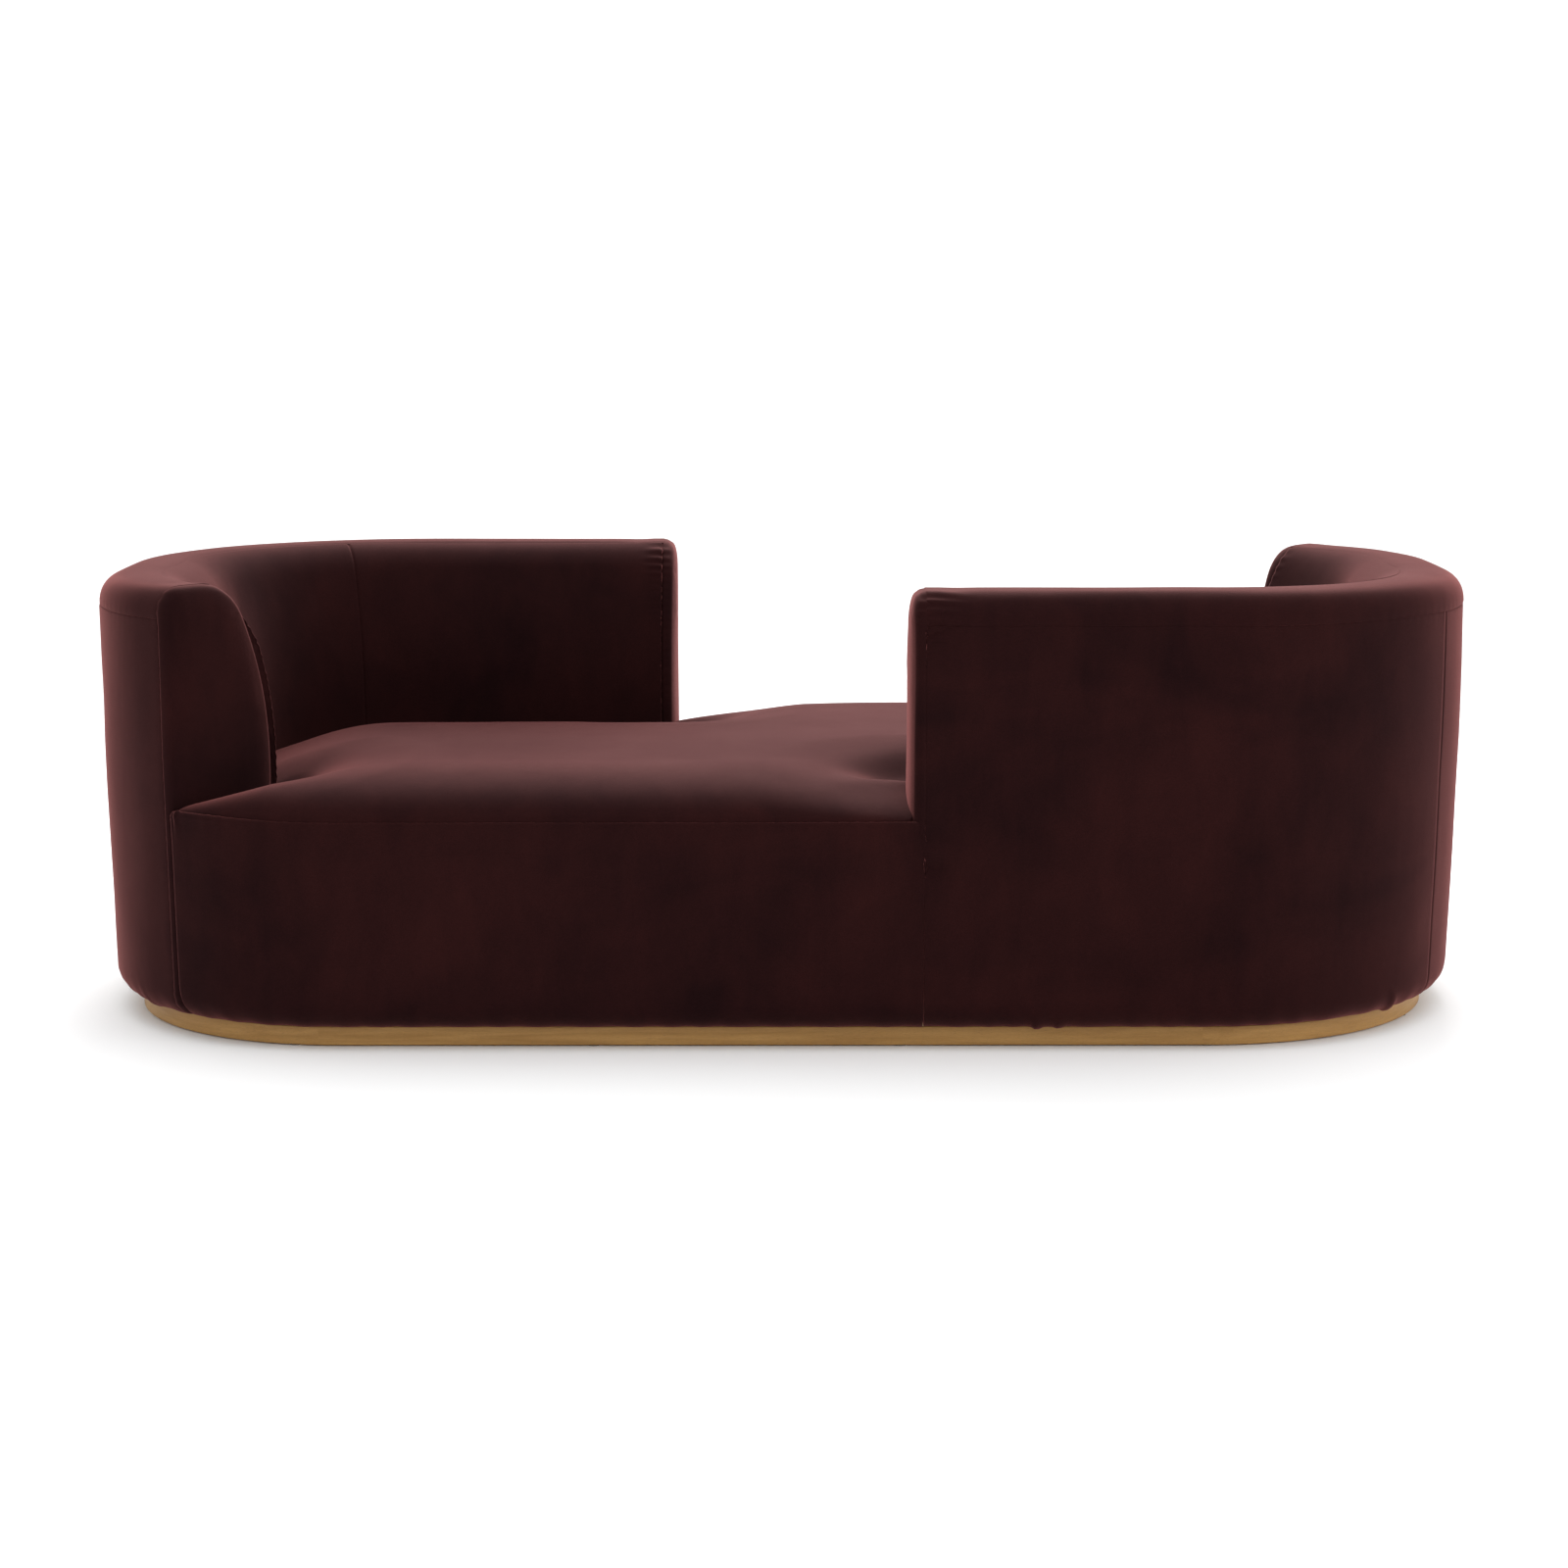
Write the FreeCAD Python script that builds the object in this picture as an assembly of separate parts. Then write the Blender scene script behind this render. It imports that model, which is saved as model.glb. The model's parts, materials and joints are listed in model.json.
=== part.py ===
import FreeCAD, Part
import math
import os

# Two-sided daybed: one sprung seat with two curled backs, on a low wooden plinth.
# Millimetres, +X along the length, +Y to the rear, +Z up, origin on the floor at the middle.
# The right back is the left back turned half a turn about Z, and so is everything else
# that comes in pairs, so each pair is modelled once.

V = FreeCAD.Vector
UP = V(0, 0, 1)
os.makedirs("parts", exist_ok=True)

# ---------------------------------------------------------------- driving dimensions

# overall
length = 2380.0
depth = 1090.0
height = 762.0
wing_corner_r = 445.0          # plan corners that carry a wing end
back_corner_r = 485.0          # plan corners wrapped by a back
wing_end_angle = 50.0          # how far a back runs past its end of the daybed, degrees
mid_end_x = 229.0              # distance from the middle to a back's free end
wing_bulge = 26.0
mid_bulge = 23.0

# plinth
plinth_height = 34.0
plinth_inset = 54.0
plinth_thick = 22.0
plinth_chamfer = 1.5
glide_thick = 2.0
glide_r = 9.0
glide_count = 12
rail_lap = 36.0                # how far a straight rail runs round the wing corner
rail_short = 8.0               # how far short of the back corner it stops
brace_width = 60.0
brace_height = 24.0
brace_xs = (-450.0, 0.0, 450.0)
block_length = 70.0
block_thick = 20.0
dowel_r = 4.0
dowel_length = 40.0
dowel_play = 0.1
dowel_shares = (0.36, 0.70)    # the two dowels of a joint, in shares of the plinth's height
block_clear = 2.0              # joint block to the floor side and to the plinth's top

# upholstered section, as inset from the widest line and height
skirt_taper = 10.0
widest_z = 480.0
top_outer_r = 45.0
crest_u = 90.0                # inner end of the flat crest
top_inner_r = 90.0
rake = 24.0                    # lean of the inner face where it leaves the top, degrees
back_foot = 228.0              # a back's thickness where the seat meets it
seat_meet_z = 425.0

# frame
ring_thick = 20.0
ring_setback = 1.0             # of the base ring behind the plinth's face
rib_thick = 18.0
rib_play = 0.05                # between a rib's corners and the curved board
rib_foot = 150.0
rib_top = 100.0
rib_nose = 170.0
plate_z = 700.0
plate_thick = 18.0
deck_z = 318.0                 # underside of the seat foam
cap_thick = 18.0
cap_depth = 110.0
board_thick = 3.0
spring_rail_width = 50.0
spring_rail_thick = 18.0
back_rib_count = 9
edge_rib_count = 6
stretcher_thick = 20.0
post_size = 45.0
screw_r = 2.0
screw_head_r = 4.5
screw_head_thick = 3.0
screw_play = 0.05
screw_tip_cover = 4.0          # wood left above a brace screw's tip
rib_screw_u = 110.0
rib_screw_grip = 40.0
brace_screw_ys = (-300.0, 0.0, 300.0)

# springs
wire_r = 1.9
spring_pitch = 110.0
spring_leg_gap = 28.0
spring_width = 52.0
clip_length = 24.0
clip_width = 26.0
clip_gauge = 1.5
wire_play = 0.05               # between a spring's end and the foot of its clip
tie_r = 1.5
tie_ys = (-170.0, 0.0, 170.0)

# soft layers
cover_thick = 2.0
outer_foam_thick = 15.0
core_thick = 60.0
wadding_thick = 6.0
insulator_thick = 4.0
insulator_clear = 2.0
seat_seam_z = 385.0
band_seam_z = 709.0
inner_seam_u = 110.0
pad_taper = 14.0
dust_thick = 1.0
dust_play = 0.1                # between the braces and the dust cover
gap = 0.5
past = 1.0                     # how far a cut runs on past the piece that it cuts

# the seat's crown: inset from the widest line and height above the seam
crown_steps = ((3.0, 0.0), (12.0, 20.0), (55.0, 52.0), (190.0, 78.0))

# ---------------------------------------------------------------- worked-out sizes

skirt_r = plinth_inset - skirt_taper
deck_lean = skirt_taper * (widest_z - deck_z) / (widest_z - plinth_height - skirt_r)
core_inset = cover_thick + deck_lean + gap
board_d = cover_thick + outer_foam_thick
frame_d = board_d + board_thick
ring_top = plinth_height + ring_thick
rake_rad = math.radians(rake)
inner_top_u = crest_u + top_inner_r * math.cos(rake_rad)
inner_top_z = height - top_inner_r + top_inner_r * math.sin(rake_rad)
spring_rail_top = deck_z - cap_thick
spring_rail_inner = rib_foot + spring_rail_width
brace_top = plinth_height - dust_thick - gap
FAR = 2.0 * height


# ---------------------------------------------------------------- plan outline

class Straight:
    """A straight stretch of the plan outline, travelled clockwise seen from above."""

    def __init__(self, start, end):
        self.start = start
        self.end = end
        self.length = (end - start).Length
        self.travel = (end - start).normalize()
        self.inward = math.degrees(math.atan2(self.travel.y, self.travel.x)) - 90.0

    def station(self, s):
        return self.start + self.travel * s, self.inward

    def trim(self, s0, s1):
        return Straight(self.start + self.travel * s0, self.start + self.travel * s1)

    def edge(self, inset):
        n = V(math.cos(math.radians(self.inward)), math.sin(math.radians(self.inward)), 0)
        return Part.makeLine(self.start + n * inset, self.end + n * inset)

    def sweep(self, face):
        placed = place(face, *self.station(0.0))
        return placed.extrude(self.travel * self.length)


class Bend:
    """A corner arc of the plan outline, travelled clockwise, so its angle falls."""

    def __init__(self, centre, radius, start, end):
        self.centre = centre
        self.radius = radius
        self.start = start
        self.end = end
        self.length = math.radians(start - end) * radius

    def point(self, angle, inset=0.0):
        a = math.radians(angle)
        return self.centre + V(math.cos(a), math.sin(a), 0) * (self.radius - inset)

    def station(self, s):
        angle = self.start - math.degrees(s / self.radius)
        return self.point(angle), angle + 180.0

    def trim(self, s0, s1):
        a0 = self.start - math.degrees(s0 / self.radius)
        a1 = self.start - math.degrees(s1 / self.radius)
        return Bend(self.centre, self.radius, a0, a1)

    def edge(self, inset):
        middle = 0.5 * (self.start + self.end)
        points = [self.point(a, inset) for a in (self.start, middle, self.end)]
        return Part.Arc(*points).toShape()

    def sweep(self, face):
        placed = place(face, *self.station(0.0))
        return placed.revolve(self.centre, UP, self.end - self.start)


def place(shape, point, inward):
    """Put a section drawn in the XZ plane, X inward, on the outline at a station."""
    placed = shape.copy()
    placed.rotate(V(0, 0, 0), UP, inward)
    placed.translate(point)
    return placed


def half_turn(shape):
    turned = shape.copy()
    turned.rotate(V(0, 0, 0), UP, 180.0)
    return turned


half_l = length / 2.0
half_d = depth / 2.0
wing_cx = wing_corner_r - half_l
back_cx = back_corner_r - half_l
wing_c = V(wing_cx, wing_corner_r - half_d, 0)
back_c = V(back_cx, half_d - back_corner_r, 0)

front_half = [
    Straight(V(-back_cx, -half_d, 0), V(wing_cx, -half_d, 0)),
    Bend(wing_c, wing_corner_r, 270.0, 180.0),
    Straight(V(-half_l, wing_c.y, 0), V(-half_l, back_c.y, 0)),
    Bend(back_c, back_corner_r, 180.0, 90.0),
]
rear_half = [
    Straight(V(back_cx, half_d, 0), V(-wing_cx, half_d, 0)),
    Bend(-wing_c, wing_corner_r, 90.0, 0.0),
    Straight(V(half_l, -wing_c.y, 0), V(half_l, -back_c.y, 0)),
    Bend(-back_c, back_corner_r, 0.0, -90.0),
]
outline = front_half + rear_half
half_run = sum(piece.length for piece in front_half)

# stations along the outline, measured from the front of the right-hand back corner
right_mid_s = -back_cx - mid_end_x
wing_start_s = front_half[0].length + math.radians(90.0 - wing_end_angle) * wing_corner_r
left_mid_s = half_run + right_mid_s


def stretch(s0, s1):
    """The pieces of the outline from station s0 to station s1."""
    pieces = []
    here = 0.0
    for piece in outline + outline:
        a = max(s0 - here, 0.0)
        b = min(s1 - here, piece.length)
        if b - a > 0.01:
            pieces.append(piece.trim(a, b))
        here += piece.length
    return pieces


def station(s):
    for piece in outline:
        if s <= piece.length:
            return piece.station(s)
        s -= piece.length
    return outline[0].station(s)


def outline_face(inset):
    return Part.Face(Part.Wire([piece.edge(inset) for piece in outline]))


def outline_slab(inset, z0, z1):
    slab = outline_face(inset).extrude(UP * (z1 - z0))
    slab.translate(UP * z0)
    return solid_of(slab)


def solid_of(shape):
    """The one solid of a shape, facing outwards."""
    solid = shape.Solids[0]
    if solid.Volume < 0:
        solid.reverse()
    return solid


def swept(face, pieces):
    solids = [solid_of(piece.sweep(face)) for piece in pieces]
    if len(solids) == 1:
        return solids[0]
    return solid_of(solids[0].fuse(solids[1:]).removeSplitter())


def slab_at(face, s, thick, start):
    """A flat slab of a section, its near side a distance past the station's own plane."""
    near = face.copy()
    near.translate(V(0, start, 0))
    slab = near.extrude(V(0, thick, 0))
    return solid_of(place(slab, *station(s)))


def even(start, end, count):
    return [start + (end - start) * i / (count - 1) for i in range(count)]


# ---------------------------------------------------------------- sections

def polygon(points):
    corners = [V(u, 0, z) for u, z in points]
    return Part.Face(Part.makePolygon(corners + corners[:1]))


def rect(u0, u1, z0, z1):
    return polygon([(u0, z0), (u1, z0), (u1, z1), (u0, z1)])


def arc_about(u, z, r, start, end):
    """A section arc about (u, z), between two angles measured from the inward side."""
    def at(angle):
        a = math.radians(angle)
        return V(u + r * math.cos(a), 0, z + r * math.sin(a))
    return Part.Arc(at(start), at(0.5 * (start + end)), at(end)).toShape()


def joined(edges):
    """Close a section wire, adding a straight edge wherever two edges leave a gap."""
    wire = []
    for edge, after in zip(edges, edges[1:] + edges[:1]):
        wire.append(edge)
        a = edge.Vertexes[-1].Point
        b = after.Vertexes[0].Point
        if (b - a).Length > 0.01:
            wire.append(Part.makeLine(a, b))
    return Part.Wire(wire)


def middle_of_arc(top, low):
    """The middle of the inner face's arc, which leaves the top at the rake."""
    chord = low - top
    lean = math.atan2(chord.x, -chord.z)
    bulge = chord.Length / 2.0 * math.tan((rake_rad - lean) / 2.0)
    return (top + low) * 0.5 + V(math.cos(lean), 0, math.sin(lean)) * bulge


def section_wire(d, foot):
    """The back's section, d inside its surface.

    foot "skin" ends at the plinth line below the seat, "frame" runs in to the ribs' inner
    edge there, and "upper" is only what stands above the seat deck.
    """
    outer_z = height - top_outer_r
    inner_z = height - top_inner_r
    n = V(math.cos(rake_rad), 0, math.sin(rake_rad))
    top = V(inner_top_u, 0, inner_top_z) - n * d
    low = V(back_foot - d, 0, seat_meet_z)
    bulged = middle_of_arc(top, low)
    start = V(skirt_taper + d, 0, plinth_height + skirt_r)
    if foot == "upper":
        start = V(deck_lean + d, 0, deck_z)
    edges = [
        Part.makeLine(start, V(d, 0, widest_z)),
        Part.makeLine(V(d, 0, widest_z), V(d, 0, outer_z)),
        arc_about(top_outer_r, outer_z, top_outer_r - d, 180.0, 90.0),
        Part.makeLine(V(top_outer_r, 0, height - d), V(crest_u, 0, height - d)),
        arc_about(crest_u, inner_z, top_inner_r - d, 90.0, rake),
        Part.Arc(top, bulged, low).toShape(),
        Part.makeLine(low, V(back_foot - d, 0, deck_z)),
    ]
    if foot == "upper":
        return joined(edges)
    inner_u = plinth_inset if foot == "skin" else rib_foot
    edges.append(Part.makeLine(V(back_foot - d, 0, deck_z), V(inner_u, 0, deck_z)))
    edges.append(Part.makeLine(V(inner_u, 0, deck_z), V(inner_u, 0, plinth_height + d)))
    skirt_z = plinth_height + skirt_r
    edges.append(arc_about(plinth_inset, skirt_z, skirt_r - d, 270.0, 180.0))
    return joined(edges)


def section(d, foot="skin"):
    return Part.Face(section_wire(d, foot))


def only_face(shape):
    return max(shape.Faces, key=lambda face: face.Area)


def skin(d0, d1, window):
    """The layer of the section between two depths, inside a window."""
    return only_face(section(d0).cut(section(d1)).common(window))


def written(name, shapes):
    """Write one node: one solid, or a group of like solids."""
    for shape in shapes:
        assert shape.isValid() and shape.Volume > 0, name
    whole = shapes[0] if len(shapes) == 1 else Part.makeCompound(shapes)
    whole.exportStep("parts/" + name + ".step")


def written_pair(stem, side, shape):
    """Write a back's piece for the left back, and turned half a turn for the right."""
    written("left_" + stem, [shape])
    written("right_" + stem, [half_turn(shape)])


def cylinder(r, z0, z1, point):
    return Part.makeCylinder(r, z1 - z0, V(point.x, point.y, z0))


def box(x0, x1, y0, y1, z0, z1):
    return Part.makeBox(x1 - x0, y1 - y0, z1 - z0, V(x0, y0, z0))


def inward_point(s, inset):
    point, inward = station(s)
    a = math.radians(inward)
    return point + V(math.cos(a), math.sin(a), 0) * inset


def travel_at(point_and_inward):
    a = math.radians(point_and_inward[1] + 90.0)
    return V(math.cos(a), math.sin(a), 0)


def end_rooms():
    """The room for the left back's two end pads; the wing's pad reaches down to the plinth."""
    wing = rect(-plinth_inset, back_foot + gap, 0.0, FAR)
    mid = rect(-plinth_inset, back_foot + gap, deck_z - gap, FAR)
    wing_room = slab_at(wing, wing_start_s, wing_bulge + gap, -wing_bulge - gap)
    mid_room = slab_at(mid, left_mid_s, mid_bulge + gap, 0.0)
    return wing_room, mid_room


# ---------------------------------------------------------------- plinth

def plinth_section():
    outer = plinth_inset
    inner = plinth_inset + plinth_thick
    c = plinth_chamfer
    return polygon([
        (outer + c, glide_thick), (inner, glide_thick), (inner, plinth_height),
        (outer + c, plinth_height), (outer, plinth_height - c), (outer, glide_thick + c),
    ])


def joint_stations():
    first = [rail_short, front_half[0].length + rail_lap]
    return first + [s + half_run for s in first]


def dowel(s, z, r, long):
    point, inward = station(s)
    pin = Part.makeCylinder(r, long, V(plinth_inset + plinth_thick / 2.0, -long / 2.0, z), V(0, 1, 0))
    return place(pin, point, inward)


def dowels(play):
    return [dowel(s, plinth_height * share, dowel_r + play, dowel_length + 4 * play)
            for s in joint_stations() for share in dowel_shares]


def make_plinth():
    profile = plinth_section()
    joints = joint_stations()
    holes = Part.makeCompound(dowels(dowel_play))
    rail = solid_of(swept(profile, stretch(joints[0], joints[1])).cut(holes))
    end = solid_of(swept(profile, stretch(joints[1], joints[2])).cut(holes))
    written("plinth_front_rail", [rail])
    written("plinth_rear_rail", [half_turn(rail)])
    written("plinth_left_end", [end])
    written("plinth_right_end", [half_turn(end)])
    written("plinth_dowels", dowels(0.0))

    inner = plinth_inset + plinth_thick
    block = rect(inner, inner + block_thick, glide_thick + block_clear, plinth_height - block_clear)
    blocks = [swept(block, stretch(s + half_run - block_length / 2.0,
                                   s + half_run + block_length / 2.0))
              for s in joints[:2]]
    written("plinth_joint_blocks", blocks + [half_turn(b) for b in blocks])

    glides = [cylinder(glide_r, 0.0, glide_thick, inward_point(s, plinth_inset + plinth_thick / 2.0))
              for s in even(0.0, 2.0 * half_run * (glide_count - 1) / glide_count, glide_count)]
    written("floor_glides", glides)


def brace_screw_points():
    return [V(x, y, 0) for x in brace_xs for y in brace_screw_ys]


def make_braces():
    reach = half_d - plinth_inset - plinth_thick
    bottom = brace_top - brace_height
    tip = ring_top - screw_tip_cover
    holes = [cylinder(screw_r + screw_play, bottom - past, tip, p) for p in brace_screw_points()]
    holes = Part.makeCompound(holes)
    braces = [box(x - brace_width / 2.0, x + brace_width / 2.0, -reach, reach, bottom, brace_top)
              for x in brace_xs]
    written("plinth_cross_braces", [solid_of(brace.cut(holes)) for brace in braces])

    reach = half_d - rib_foot
    rails = [box(x - brace_width / 2.0, x + brace_width / 2.0, -reach, reach,
                 plinth_height, ring_top) for x in brace_xs]
    written("base_cross_rails", [solid_of(rail.cut(holes)) for rail in rails])

    screws = []
    for point in brace_screw_points():
        head = cylinder(screw_head_r, bottom - screw_head_thick, bottom, point)
        shank = cylinder(screw_r, bottom, tip, point)
        screws.append(solid_of(head.fuse(shank).removeSplitter()))
    written("brace_screws", screws)

    sheet = outline_slab(plinth_inset + plinth_thick + gap, brace_top + dust_play,
                         brace_top + dust_play + dust_thick)
    written("dust_cover", [solid_of(sheet.cut(holes))])


# ---------------------------------------------------------------- frame under the seat

def rib_places(s0, s1, count, first, last):
    """Each rib's station and where its near side is; the end ribs lie flat to the end planes."""
    starts = [first] + [-rib_thick / 2.0] * (count - 2) + [last]
    return list(zip(even(s0, s1, count), starts))


def back_rib_places():
    return rib_places(wing_start_s, left_mid_s, back_rib_count, 0.0, -rib_thick)


def edge_rib_places():
    last = -wing_bulge - gap - rib_thick
    return rib_places(right_mid_s + gap, wing_start_s, edge_rib_count, 0.0, last)


def rib_screw_point(s, start):
    point = inward_point(s, rib_screw_u)
    return point + travel_at(station(s)) * (start + rib_thick / 2.0)


def rib_screw_points():
    one_side = [rib_screw_point(s, start) for s, start in back_rib_places() + edge_rib_places()]
    return one_side + [V(-p.x, -p.y, 0) for p in one_side]


def rib_from(window, s, start):
    """A rib that fills a window of the section, set back so its corners clear the curve."""
    side = max(abs(start), abs(start + rib_thick))
    dip = side * side / 2.0 / (wing_corner_r - frame_d)
    face = only_face(section(frame_d + dip + rib_play, "frame").common(window))
    hole = cylinder(screw_r + screw_play, ring_top, ring_top + rib_screw_grip + past,
                    rib_screw_point(s, start))
    return solid_of(slab_at(face, s, rib_thick, start).cut(hole))


def make_base_ring():
    ring = outline_slab(plinth_inset + ring_setback, plinth_height, ring_top)
    ring = ring.cut(outline_slab(rib_foot, plinth_height - past, ring_top + past))
    points = rib_screw_points()
    head_top = plinth_height + screw_head_thick
    cuts = [cylinder(screw_r + screw_play, plinth_height, ring_top + past, p) for p in points]
    cuts += [cylinder(screw_head_r + screw_play, plinth_height - past, head_top, p) for p in points]
    written("base_ring", [solid_of(ring.cut(Part.makeCompound(cuts)))])

    screws = []
    for point in points:
        head = cylinder(screw_head_r, plinth_height, head_top, point)
        shank = cylinder(screw_r, head_top, ring_top + rib_screw_grip, point)
        screws.append(solid_of(head.fuse(shank).removeSplitter()))
    written("rib_screws", screws)


def edge_piece(face):
    """A section swept along the seat's free front edge, clear of the pads at both its ends."""
    piece = swept(face, stretch(right_mid_s + gap, wing_start_s))
    wing_room, mid_room = end_rooms()
    return solid_of(piece.cut([wing_room, half_turn(mid_room)]))


def make_seat_frame():
    low = spring_rail_top - spring_rail_thick
    ring = outline_slab(rib_foot, low, spring_rail_top)
    hole = outline_slab(spring_rail_inner, low - past, spring_rail_top + past)
    written("spring_rail", [solid_of(ring.cut(hole))])

    reach = half_d - rib_foot
    under = low - stretcher_thick
    half = brace_width / 2.0
    written("seat_stretchers", [box(x - half, x + half, -reach, reach, under, low)
                                for x in brace_xs])
    half = post_size / 2.0
    written("stretcher_posts", [box(x - half, x + half, y - half, y + half, ring_top, under)
                                for x in brace_xs for y in (-reach / 2.0, reach / 2.0)])

    rib = rect(0, rib_foot, ring_top, spring_rail_top)
    ribs = [rib_from(rib, *where) for where in edge_rib_places()]
    written("edge_ribs", ribs + [half_turn(r) for r in ribs])

    cap = only_face(section(board_d, "frame").common(rect(0, cap_depth, spring_rail_top, deck_z)))
    board = skin(board_d, frame_d, rect(0, plinth_inset, plinth_height + skirt_r, spring_rail_top))
    foam = skin(cover_thick, board_d, rect(0, plinth_inset, 0, deck_z))
    cover = skin(0.0, cover_thick, rect(0, plinth_inset, 0, seat_seam_z))
    cap, board, foam, cover = [edge_piece(face) for face in (cap, board, foam, cover)]
    written("edge_cap_rails", [cap, half_turn(cap)])
    written("edge_boards", [board, half_turn(board)])
    written("front_edge_foam", [foam])
    written("rear_edge_foam", [half_turn(foam)])
    written("front_panel_cover", [cover])
    written("rear_panel_cover", [half_turn(cover)])


# ---------------------------------------------------------------- springs

def opening_reach(x):
    """Half the width of the sprung opening, on the narrower side, at a distance along X."""
    reach = half_d - spring_rail_inner
    for centre_x, corner_r in ((wing_cx, wing_corner_r), (back_cx, back_corner_r)):
        r = corner_r - spring_rail_inner
        beyond = abs(x) - abs(centre_x)
        if beyond > 0:
            drop = r - math.sqrt(max(r * r - beyond * beyond, 0.0))
            reach = min(reach, half_d - spring_rail_inner - drop)
    return reach


def spring_xs():
    count = int((half_l - spring_rail_inner - 2.0 * spring_width) / spring_pitch)
    return [spring_pitch * i for i in range(-count, count + 1)]


def spring_at(x):
    """A flat zigzag wire across the opening, its legs along X."""
    reach = opening_reach(abs(x) + spring_width / 2.0) + clip_length / 2.0
    legs = 2 * int(reach / spring_leg_gap) + 1
    r = spring_leg_gap / 2.0
    half = spring_width / 2.0 - r
    z = spring_rail_top + clip_gauge + wire_r
    edges = []
    for i in range(legs):
        y = (i - (legs - 1) / 2.0) * spring_leg_gap
        side = 1.0 if i % 2 == 0 else -1.0
        edges.append(Part.makeLine(V(x - side * half, y, z), V(x + side * half, y, z)))
        if i < legs - 1:
            edges.append(Part.Arc(V(x + side * half, y, z),
                                  V(x + side * (half + r), y + r, z),
                                  V(x + side * half, y + spring_leg_gap, z)).toShape())
    start = edges[0].Vertexes[0].Point
    ring = Part.Wire(Part.Circle(start, V(1, 0, 0), wire_r).toShape())
    return solid_of(Part.Wire(edges).makePipeShell([ring], True, False))


def clip_at(x, end):
    """A bent steel clip that holds a spring's end leg down on the spring rail."""
    reach = opening_reach(abs(x) + spring_width / 2.0) + clip_length / 2.0
    y = int(reach / spring_leg_gap) * spring_leg_gap
    low = spring_rail_top
    inside = 2.0 * wire_r + 2.0 * gap
    full = inside + 2.0 * clip_gauge
    outer = box(x - clip_width / 2.0, x + clip_width / 2.0,
                y - wire_r - gap, y + clip_length / 2.0, low, low + full)
    space = box(x - clip_width, x + clip_width, y - clip_length,
                y + wire_r + gap, low + clip_gauge - wire_play, low + full - clip_gauge)
    clip = solid_of(outer.cut(space))
    return clip if end > 0 else half_turn(clip)


def make_springs():
    xs = spring_xs()
    springs = [spring_at(x) for x in xs if x >= 0]
    written("sinuous_springs", springs + [half_turn(spring) for spring in springs[1:]])
    clips = [clip_at(x, 1) for x in xs]
    written("spring_clips", clips + [half_turn(clip) for clip in clips])
    z = spring_rail_top + 2.0 * clip_gauge + 2.0 * wire_r + 2.0 * gap + tie_r
    reach = xs[-1] + spring_width / 2.0
    written("spring_tie_wires", [Part.makeCylinder(tie_r, 2.0 * reach, V(-reach, y, z), V(1, 0, 0))
                                 for y in tie_ys])


# ---------------------------------------------------------------- seat upholstery

def back_keepout():
    """The room that one back and its end pads take from the seat."""
    block = rect(-plinth_inset, back_foot + gap, deck_z - gap, FAR)
    room = swept(block, stretch(wing_start_s, left_mid_s))
    return solid_of(room.fuse(end_rooms()).removeSplitter())


def crown_solid():
    """The full seat block under its crowned top, before the backs are cut out of it."""
    wires = []
    for inset, rise in ((crown_steps[0][0], deck_z - seat_seam_z),) + crown_steps:
        wire = Part.Wire([piece.edge(inset) for piece in outline])
        wire.translate(UP * (seat_seam_z + rise))
        wires.append(wire)
    return solid_of(Part.makeLoft(wires, True, True))


def lowered(shape, drop):
    moved = shape.copy()
    moved.translate(UP * -drop)
    return moved


def make_seat():
    left = back_keepout()
    keepouts = [left, half_turn(left)]
    crown = crown_solid()
    core_top = deck_z + core_thick

    core = outline_slab(core_inset, deck_z, core_top)
    written("seat_foam_core", [solid_of(core.cut(keepouts))])

    above = outline_slab(0.0, core_top, height)
    under_cover = lowered(crown, cover_thick)
    under_wadding = lowered(crown, cover_thick + wadding_thick)
    foam = under_wadding.common(above).common(outline_slab(core_inset, core_top, height))
    written("seat_foam_crown", [solid_of(foam.cut(keepouts))])
    wadding = under_cover.cut(under_wadding).common(above)
    wadding = wadding.common(outline_slab(core_inset, core_top, height))
    written("seat_wadding", [solid_of(wadding.cut(keepouts))])
    cover = crown.cut(under_cover).common(outline_slab(0.0, seat_seam_z, height))
    written("seat_top_cover", [solid_of(cover.cut(keepouts))])

    pad = outline_slab(rib_foot + insulator_clear, deck_z - insulator_thick, deck_z)
    written("spring_insulator", [pad])


# ---------------------------------------------------------------- backs

def end_pad(s, length_out, foot):
    """The foam pad and the cover over a back's end, swelling out from its last rib."""
    point, inward = station(s)
    toward = travel_at((point, inward)) * length_out
    step = toward * ((abs(length_out) - cover_thick) / abs(length_out))

    def block(d_near, shift):
        near = place(section_wire(d_near, foot), point, inward)
        far = place(section_wire(pad_taper, foot), point, inward)
        far.translate(shift)
        return solid_of(Part.makeLoft([near, far], True, True))

    foam = block(cover_thick, step)
    cover = solid_of(block(0.0, toward).cut(foam))
    return foam, cover


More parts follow.
